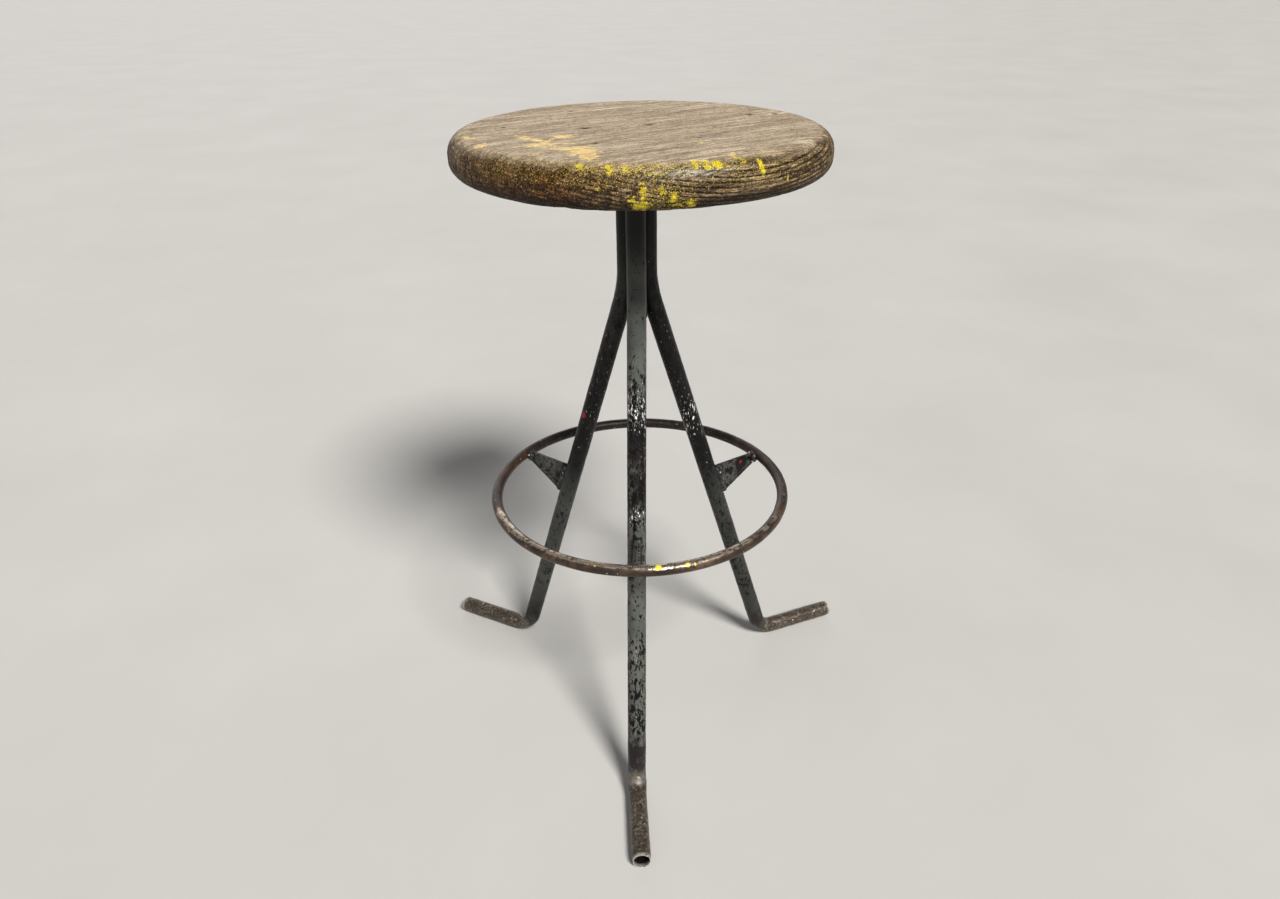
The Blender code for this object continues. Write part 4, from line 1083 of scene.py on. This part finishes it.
def weldMaterial():
    material, tree, shader = newMaterial("paintedWeld", {"Specular IOR Level": 0.35})
    place = objectPlace(tree)
    tint = noiseOf(tree, place, 160.0, 5.0, 0.65)
    colour = ramp(tree, tint, weldColours["metal"])
    dots = maskOf(tree, fleckGroup, place, 260.0, 0.22, Size=0.40)
    colour = mixed(tree, dots, colour, weldColours["fleck"])
    roughness = plus(tree, 0.34, times(tree, tint, 0.25))
    metallic = times(tree, dots, 0.8)
    finishMaterial(tree, shader, colour, roughness, tint, 0.5, 0.0004, metallic)
    return material


bead = {"rowStep": 0.0005, "sides": 14, "scaleStep": 0.0011, "scaleShare": 0.16, "wobble": 0.16}


def beadMesh(path, radius, seed):
    # overlapping scales of weld metal along a line
    points = [Vector(p) for p in path]
    total = sum((b - a).length for a, b in zip(points, points[1:]))
    rows = max(10, round(total / bead["rowStep"]))
    sides = bead["sides"]
    verts = []
    samples = []
    for row in range(rows + 1):
        wanted = total * row / rows
        for near, far in zip(points, points[1:]):
            length = (far - near).length
            if wanted <= length + 1e-9:
                samples.append((near.lerp(far, wanted / length), (far - near).normalized(),
                                total * row / rows))
                break
            wanted -= length
    noises = cellNoise(np.array([(s[2] * 420, seed * 3.7, 0.5) for s in samples]), 41)
    for (centre, heading, run), wobble in zip(samples, noises):
        side = heading.orthogonal().normalized()
        other = heading.cross(side)
        ends = min(run, total - run) / (radius * 0.9)
        scale = 1 + bead["scaleShare"] * abs(math.sin(run / bead["scaleStep"])) + bead["wobble"] * wobble
        size = radius * scale * math.sqrt(max(0.0, min(1.0, ends))) + radius * 0.08
        for index in range(sides):
            angle = 2 * math.pi * index / sides
            verts.append(centre + side * size * math.cos(angle) + other * size * math.sin(angle))
    return verts, cappedFaces(len(samples), sides)


def joined(parts):
    verts, faces = [], []
    for partVerts, partFaces in parts:
        first = len(verts)
        verts += partVerts
        faces += [tuple(first + index for index in face) for face in partFaces]
    return verts, faces


def buildGusset(name, leg, plateMaterial, beadMaterial):
    spin = Matrix.Rotation(math.radians(leg["azimuth"]), 4, "Z")
    unspin = spin.inverted()
    points = [unspin @ (v.co - axis) for v in nodes["gusset_" + name].data.vertices]
    half = max(p.y for p in points)
    outline = []
    for p in points:
        if all(abs(p.x - q[0]) + abs(p.z - q[1]) > 1e-4 for q in outline):
            outline.append((p.x, p.z))
    middleX = sum(p[0] for p in outline) / len(outline)
    middleZ = sum(p[1] for p in outline) / len(outline)
    outline.sort(key=lambda p: math.atan2(p[1] - middleZ, p[0] - middleX))
    bm = bmesh.new()
    face = bm.faces.new([bm.verts.new((x, -half, z)) for x, z in outline])
    grown = bmesh.ops.extrude_face_region(bm, geom=[face])["geom"]
    bmesh.ops.translate(bm, vec=(0, 2 * half, 0),
                        verts=[g for g in grown if isinstance(g, bmesh.types.BMVert)])
    bmesh.ops.bevel(bm, geom=bm.edges[:], offset=gusset["bevel"], segments=3, profile=0.5, affect="EDGES")
    bm.verts.index_update()
    verts = [spin @ v.co + axis for v in bm.verts]
    faces = [tuple(v.index for v in f.verts) for f in bm.faces]
    bm.free()
    meshObject("gusset_plate_" + name, verts, faces, plateMaterial, "frame",
               ("gusset_" + name,), 40.0)

    # beads down both sides of the plate, at the leg and at the ring
    inner = sorted(outline)[:2]
    outer = sorted(outline)[2:]
    radius = gusset["weldRadius"]
    beads = []
    for side in (-1, 1):
        y = side * (half + radius * 0.15)
        for corners, kind, seed in ((inner, legBead, side + 2), (outer, ringBead, side + 5)):
            low, high = sorted(corners, key=lambda p: p[1])
            path = [(low[0] + kind["low"][0], y, low[1] + kind["low"][1]),
                    (high[0] + kind["high"][0], y * kind["lean"], high[1] + kind["high"][1])]
            beads.append(beadMesh(path, radius * kind["thick"], seed))
    if name == "front":
        x, z = min(outer, key=lambda p: p[1])
        path = [(x + out, aside, z + up) for out, aside, up in (weldDrop["from"], weldDrop["to"])]
        beads.append(beadMesh(path, weldDrop["radius"], 9))
    verts, faces = joined(beads)
    verts = [spin @ v + axis for v in verts]
    meshObject("gusset_weld_" + name, verts, faces, beadMaterial, "frame", (), 60.0)


platePaint = platePaintMaterial()
weldPaint = weldMaterial()
for name, leg in legs.items():
    buildGusset(name, leg, platePaint, weldPaint)
print("gussets and welds built")


# head of the frame and the seat's fittings

headColours = {
    "paint": [(0.34, (0.030, 0.030, 0.029)), (0.54, (0.058, 0.058, 0.054)), (0.72, (0.092, 0.085, 0.076))],
    "chip": (0.085, 0.040, 0.022), "soot": (0.015, 0.013, 0.012),
    "scratch": (0.62, 0.60, 0.57), "rust": (0.14, 0.058, 0.025),
}


def oiledSteelMaterial(name, base, dark, oil):
    material, tree, shader = newMaterial(name, {"Specular IOR Level": 0.5})
    place = objectPlace(tree)
    cloud = noiseOf(tree, place, 70.0, 5.0, 0.6)
    darker = tuple(c * 0.62 for c in base)
    lighter = tuple(min(1.0, c * 1.35) for c in base)
    colour = ramp(tree, cloud, [(0.32, darker), (0.52, base), (0.72, lighter)])
    marks = maskOf(tree, scratchGroup, place, 1.0, 0.5)
    colour = partly(tree, marks, 0.35, colour, headColours["scratch"])
    soot = maskOf(tree, grimeGroup, place, 55.0, oil)
    colour = partly(tree, soot, 0.8, colour, dark)
    rust = maskOf(tree, chipGroup, place, 200.0, 0.32, Softness=0.06)
    colour = partly(tree, rust, 0.7, colour, headColours["rust"])
    metallic = minus(tree, 0.96, times(tree, greater(tree, soot, rust), 0.6))
    roughness = plus(tree, 0.30, times(tree, cloud, 0.28))
    height = plus(tree, times(tree, cloud, 0.4), times(tree, marks, 0.4))
    finishMaterial(tree, shader, colour, roughness, height, 0.3, 0.0002, metallic)
    return material


def darkPaintMaterial():
    material, tree, shader = newMaterial("darkHeadPaint", {"Specular IOR Level": 0.3})
    place = objectPlace(tree)
    tint = noiseOf(tree, place, 45.0, 5.0, 0.6)
    colour = ramp(tree, tint, headColours["paint"])
    chips = maskOf(tree, chipGroup, place, 170.0, 0.40, Softness=0.03)
    colour = mixed(tree, chips, colour, headColours["chip"])
    soot = maskOf(tree, grimeGroup, place, 50.0, 0.55)
    colour = partly(tree, soot, 0.5, colour, headColours["soot"])
    roughness = plus(tree, 0.42, times(tree, tint, 0.2))
    height = minus(tree, times(tree, tint, 0.4), times(tree, chips, 0.6))
    finishMaterial(tree, shader, colour, roughness, height, 0.45, 0.0003)
    return material


brightSteel = oiledSteelMaterial("oiledScrewSteel", (0.36, 0.345, 0.325), (0.030, 0.024, 0.018), 0.42)
dullSteel = oiledSteelMaterial("dullFittingSteel", (0.24, 0.225, 0.205), (0.026, 0.021, 0.017), 0.52)
headPaint = darkPaintMaterial()

fitting = {"edge": 0.0006, "fineEdge": 0.0003, "sides": 72, "headBore": 0.0087, "guideBore": 0.0086,
           "neck": 0.0055, "washerBore": 0.00845, "bushBore": 0.00605, "pinBore": 0.0023,
           "pinBoreReach": 0.011, "flangeIn": 0.002,
           "gap": 0.0003}      # left between neighbouring pieces
screw = {"circle": 0.045, "headRadius": 0.0043, "headHeight": 0.003, "shank": 0.0021, "length": 0.020,
         "slotWidth": 0.0012, "slotDepth": 0.0013, "slotTurn": 37,
         "threadPitch": 0.0018, "threadDeep": 0.00045,
         "plain": 0.006,       # smooth part of the shank, under the head
         "taper": 0.005, "tip": 0.00025, "headSteps": 10, "rows": 90, "sides": 28}
thread = {"radius": 0.008, "root": 0.00575, "pitch": 0.004, "flank": math.radians(15), "toothHalf": 0.00073,
          "turns": 34, "rowStep": 0.0002, "sides": 44, "runOut": 0.002,
          "topGap": 0.0005, "plainStep": 0.002}
# the spindle's lower end: in from the root, up from the end
spindleTip = [(0.0011, 0.0), (0.0003, 0.0004), (0.0, 0.0013)]
# the riveted end over the plate: share of the neck's radius, height
rivetEnd = [(1.7, 0.0), (1.66, 0.0010), (1.45, 0.0021), (1.05, 0.0029)]
# the pin's rounded ends: share of its radius, way in from the end
pinEnd = [(0.25, 0.0), (0.72, 0.0001), (0.94, 0.0004), (1.0, 0.0009)]
headWeld = {"radius": 0.0017, "circle": 0.0104, "below": 0.0006, "from": -84, "step": 12, "points": 15}


def buildRound(name, node, bore, material, body, edge=None):
    # a plain washer, plate or tube turned to the node's size
    low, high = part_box(node)
    outer = (high.x - low.x) / 2
    tall = high.z - low.z
    outline = rounded([(bore, 0), (outer, 0), (outer, tall), (bore, tall)], edge or fitting["edge"])
    verts, faces = turned(outline, fitting["sides"], Vector((axis.x, axis.y, low.z)), True)
    return meshObject(name, verts, faces, material, body, (node,), 40.0)


def screwPlaces():
    found = []
    for number in range(4):
        angle = math.pi * (2 * number + 1) / 4
        found.append(Vector((axis.x + screw["circle"] * math.cos(angle),
                             axis.y + screw["circle"] * math.sin(angle), 0)))
    return found


def buildSeatPlate():
    low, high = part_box("seat_plate")
    plate = buildRound("seat_plate_disc", "seat_plate", fitting["neck"] + fitting["gap"], headPaint,
                       "seat")
    radius = screw["shank"] + fitting["gap"]
    for spot in screwPlaces():
        cutAway(plate, *turned([(radius, low.z - 0.002), (radius, high.z + 0.002)], 24, spot, False))


def shankRadius(height, share):
    # at a height over the head and a share of the way round
    size = screw["shank"]
    if height > screw["plain"]:
        turn = (height / screw["threadPitch"] - share) % 1
        size = size - screw["threadDeep"] + screw["threadDeep"] * (1 - abs(2 * turn - 1)) ** 2
    taper = min(1.0, (screw["length"] + 0.0006 - height) / screw["taper"])
    return max(screw["tip"], size * taper)


def buildScrews():
    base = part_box("seat_plate")[0].z - fitting["gap"]
    sides = screw["sides"]
    rows = []
    for step in range(screw["headSteps"]):
        angle = math.pi / 2 * max(step, 0.25) / (screw["headSteps"] - 1)
        rows.append((screw["headRadius"] * math.sin(angle), -screw["headHeight"] * math.cos(angle)))
    rows.append((screw["shank"], 0.0))
    rows += [(None, screw["length"] * step / screw["rows"]) for step in range(1, screw["rows"] + 1)]
    for number, spot in enumerate(screwPlaces(), 1):
        verts = []
        for radius, height in rows:
            for side in range(sides):
                angle = 2 * math.pi * side / sides
                size = shankRadius(height, side / sides) if radius is None else radius
                verts.append((spot.x + size * math.cos(angle), spot.y + size * math.sin(angle),
                              base + height))
        faces = cappedFaces(len(rows), sides)
        piece = meshObject(f"seat_screw_slotted_{number}", verts, faces, dullSteel, "seat",
                           (f"seat_screw_{number}",), 35.0)
        place = Matrix.Translation((spot.x, spot.y, base - screw["headHeight"]))
        turn = place @ Matrix.Rotation(math.radians(screw["slotTurn"]) * number, 4, "Z")
        long, wide, deep = screw["headRadius"] * 2, screw["slotWidth"] / 2, screw["slotDepth"]
        around = ((-long, -wide), (long, -wide), (long, wide), (-long, wide))
        corners = [(x, y, z) for z in (-deep, deep) for x, y in around]
        cutAway(piece, [turn @ Vector(c) for c in corners],
                [(0, 1, 2, 3), (4, 5, 6, 7), (0, 1, 5, 4), (1, 2, 6, 5), (2, 3, 7, 6), (3, 0, 4, 7)])


def buildSpindle():
    low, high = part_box("spindle")
    washerLow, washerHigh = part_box("wear_washer")
    plateLow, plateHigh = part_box("seat_plate")
    collarLow = washerHigh.z + fitting["gap"]
    collarHigh = plateLow.z - fitting["gap"]
    plateTop = plateHigh.z + fitting["gap"]
    threadTop = collarLow - thread["topGap"]
    threadLow = threadTop - (thread["turns"] + 1) * thread["pitch"]
    root, neck = thread["root"], fitting["neck"]
    rows = [(root * 0.35, low.z, 0)]
    rows += [(root - inwards, low.z + up, 0) for inwards, up in spindleTip]
    height = low.z + 0.0025
    while height < threadLow:
        rows.append((root, height, 0))
        height += thread["plainStep"]
    count = round((threadTop - threadLow) / thread["rowStep"])
    for step in range(count + 1):
        rows.append((root, threadLow + (threadTop - threadLow) * step / count, 1))
    flange = (washerHigh.x - washerLow.x) / 2 - fitting["flangeIn"]
    edge = fitting["edge"]
    rows += [(root, collarLow, 0), (flange - edge, collarLow, 0), (flange, collarLow + edge, 0),
             (flange, collarHigh - edge, 0), (flange - edge, collarHigh, 0), (neck, collarHigh, 0),
             (neck, plateTop, 0)]
    rows += [(neck * share, plateTop + up, 0) for share, up in rivetEnd]
    rows += [(neck * 0.55, high.z, 0), (neck * 0.15, high.z, 0)]
    sides = thread["sides"]
    verts = []
    for radius, z, threaded in rows:
        for side in range(sides):
            size = radius
            if threaded:
                # distance along the axis from the middle of the nearest tooth
                place = (z - threadLow) / thread["pitch"] - 0.5 - side / sides
                off = abs(place - round(place)) * thread["pitch"]
                reach = (off - thread["toothHalf"]) / math.tan(thread["flank"])
                grown = thread["radius"] - max(0.0, reach)
                fade = min(z - threadLow - 0.001, threadTop - 0.001 - z) / thread["runOut"]
                fade = min(1.0, max(0.0, fade))
                size = radius + max(0.0, grown - radius) * fade
            angle = 2 * math.pi * side / sides
            verts.append((axis.x + size * math.cos(angle), axis.y + size * math.sin(angle), z))
    faces = cappedFaces(len(rows), sides)
    piece = meshObject("spindle_screw", verts, faces, brightSteel, "seat", ("spindle",), 30.0)
    bore, reach = fitting["pinBore"], fitting["pinBoreReach"]
    cutAway(piece, *lyingRod(middleOf("stop_pin"), [(bore, -reach), (bore, reach)], 28))


def lyingRod(centre, rows, sides):
    # a rod along Y through (radius, place) rows
    verts = []
    for size, place in rows:
        for side in range(sides):
            angle = 2 * math.pi * side / sides
            verts.append((centre.x + size * math.cos(angle), centre.y + place,
                          centre.z + size * math.sin(angle)))
    return verts, cappedFaces(len(rows), sides)


def buildPin():
    low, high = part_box("stop_pin")
    radius = (high.z - low.z) / 2
    half = (high.y - low.y) / 2
    rows = [(radius * share, -half + inwards) for share, inwards in pinEnd]
    rows += [(radius * share, half - inwards) for share, inwards in reversed(pinEnd)]
    verts, faces = lyingRod(middleOf("stop_pin"), rows, 32)
    meshObject("stop_pin_rod", verts, faces, dullSteel, "seat", ("stop_pin",), 40.0)


def buildHeadWelds():
    # a run of weld under the head plate, round the outer side of each tube
    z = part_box("leg_front")[1].z - headWeld["below"]
    reach = headWeld["circle"]
    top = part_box("head_plate")[0].z
    for name, leg in legs.items():
        azimuth = math.radians(leg["azimuth"])
        centre = Vector((math.cos(azimuth), math.sin(azimuth), 0)) * tube["bundle"] + axis
        path = []
        for step in range(headWeld["points"]):
            angle = azimuth + math.radians(headWeld["from"] + headWeld["step"] * step)
            path.append((centre.x + reach * math.cos(angle), centre.y + reach * math.sin(angle), z))
        verts, faces = beadMesh(path, headWeld["radius"], 11 + len(name))
        verts = [Vector((v.x, v.y, min(v.z, top - 0.0001))) for v in verts]
        meshObject("head_weld_" + name, verts, faces, weldPaint, "frame", (), 60.0)


buildRound("head_plate_disc", "head_plate", fitting["headBore"], headPaint, "frame")
buildRound("guide_tube_sleeve", "guide_tube", fitting["guideBore"], headPaint, "frame",
           fitting["fineEdge"])
buildRound("wear_washer_disc", "wear_washer", fitting["washerBore"], dullSteel, "washer",
           fitting["fineEdge"])
buildRound("guide_bush_sleeve", "guide_bush", fitting["bushBore"], dullSteel, "seat")
buildSeatPlate()
buildScrews()
buildSpindle()
buildPin()
buildHeadWelds()
nut = nodes["spindle_nut"]
nut.data.materials.clear()
nut.data.materials.append(dullSteel)
print("fittings built")


# floor, light and camera

studio = {
    "floorSize": 90.0, "floorDrop": 0.0002,
    "sunStrength": 4.75, "sunAngle": math.radians(16), "sunPlace": (1.2, -2.0, 2.7),
    "sunTarget": (0, 0, 0.3),
    "fillStrength": 3.0, "fillSize": 1.6, "fillPlace": (-1.6, -1.2, 1.3), "fillTarget": (0, 0, 0.35),
    "backStrength": 0.9, "backAngle": math.radians(60), "backPlace": (-0.7, 2.3, 0.85),
    "backTarget": (0, 0, 0.35), "worldStrength": 0.17,
}
camera = {"place": (0.03568, -0.83523, 0.81147), "turn": (61.388, 0.623, 1.91), "lens": 25.875,
          "sensor": 36.0}


def floorMaterial():
    material, tree, shader = newMaterial("paleFloor", {"Specular IOR Level": 0.2})
    place = objectPlace(tree)
    cloud = noiseOf(tree, place, 2.2, 5.0, 0.6)
    colour = ramp(tree, cloud, [(0.3, (0.475, 0.462, 0.438)), (0.7, (0.515, 0.502, 0.478))])
    roughness = plus(tree, 0.6, times(tree, cloud, 0.2))
    finishMaterial(tree, shader, colour, roughness, noiseOf(tree, place, 300.0), 0.1, 0.0002)
    return material


def buildFloor():
    size = studio["floorSize"] / 2
    mesh = bpy.data.meshes.new("floor")
    corners = [(-size, -size, 0), (size, -size, 0), (size, size, 0), (-size, size, 0)]
    mesh.from_pydata(corners, [], [(0, 1, 2, 3)])
    mesh.materials.append(floorMaterial())
    floor = bpy.data.objects.new("floor", mesh)
    floor.location = (0, 0, -studio["floorDrop"])
    bpy.context.scene.collection.objects.link(floor)


def aimed(data, name, place, target):
    thing = bpy.data.objects.new(name, data)
    thing.location = place
    thing.rotation_euler = (Vector(target) - Vector(place)).to_track_quat("-Z", "Y").to_euler()
    bpy.context.scene.collection.objects.link(thing)


def buildLight():
    sun = bpy.data.lights.new("key", "SUN")
    sun.energy = studio["sunStrength"]
    sun.angle = studio["sunAngle"]
    sun.color = (1.0, 0.985, 0.96)
    aimed(sun, "key", studio["sunPlace"], studio["sunTarget"])
    fill = bpy.data.lights.new("fill", "AREA")
    fill.size = studio["fillSize"]
    fill.energy = studio["fillStrength"]
    fill.color = (0.93, 0.97, 1.0)
    aimed(fill, "fill", studio["fillPlace"], studio["fillTarget"])
    # low and very soft, so that the far sides aren't lost
    back = bpy.data.lights.new("back", "SUN")
    back.energy = studio["backStrength"]
    back.angle = studio["backAngle"]
    aimed(back, "back", studio["backPlace"], studio["backTarget"])
    world = bpy.data.worlds.new("paleStudio")
    world.use_nodes = True
    tree = world.node_tree
    lighting = tree.nodes["Background"]
    lighting.inputs["Color"].default_value = (0.93, 0.95, 1.0, 1.0)
    lighting.inputs["Strength"].default_value = studio["worldStrength"]
    backdrop = addNode(tree, "Background", {"Color": (0.76, 0.75, 0.73, 1.0)})
    # the backdrop looks pale, and the light from it stays dim
    cameraRay = addNode(tree, "LightPath").outputs["Is Camera Ray"]
    seen = addNode(tree, "MixShader", {0: cameraRay, 1: lighting.outputs[0], 2: backdrop.outputs[0]})
    tree.links.new(seen.outputs[0], tree.nodes["World Output"].inputs["Surface"])
    bpy.context.scene.world = world


def buildCamera():
    data = bpy.data.cameras.new("camera")
    data.lens = camera["lens"]
    data.sensor_width = camera["sensor"]
    data.clip_start = 0.01
    thing = bpy.data.objects.new("camera", data)
    thing.location = camera["place"]
    thing.rotation_euler = [math.radians(a) for a in camera["turn"]]
    bpy.context.scene.collection.objects.link(thing)
    bpy.context.scene.camera = thing


buildFloor()
buildLight()
buildCamera()
bpy.context.scene.view_settings.view_transform = "Standard"
print("floor, light and camera ready")
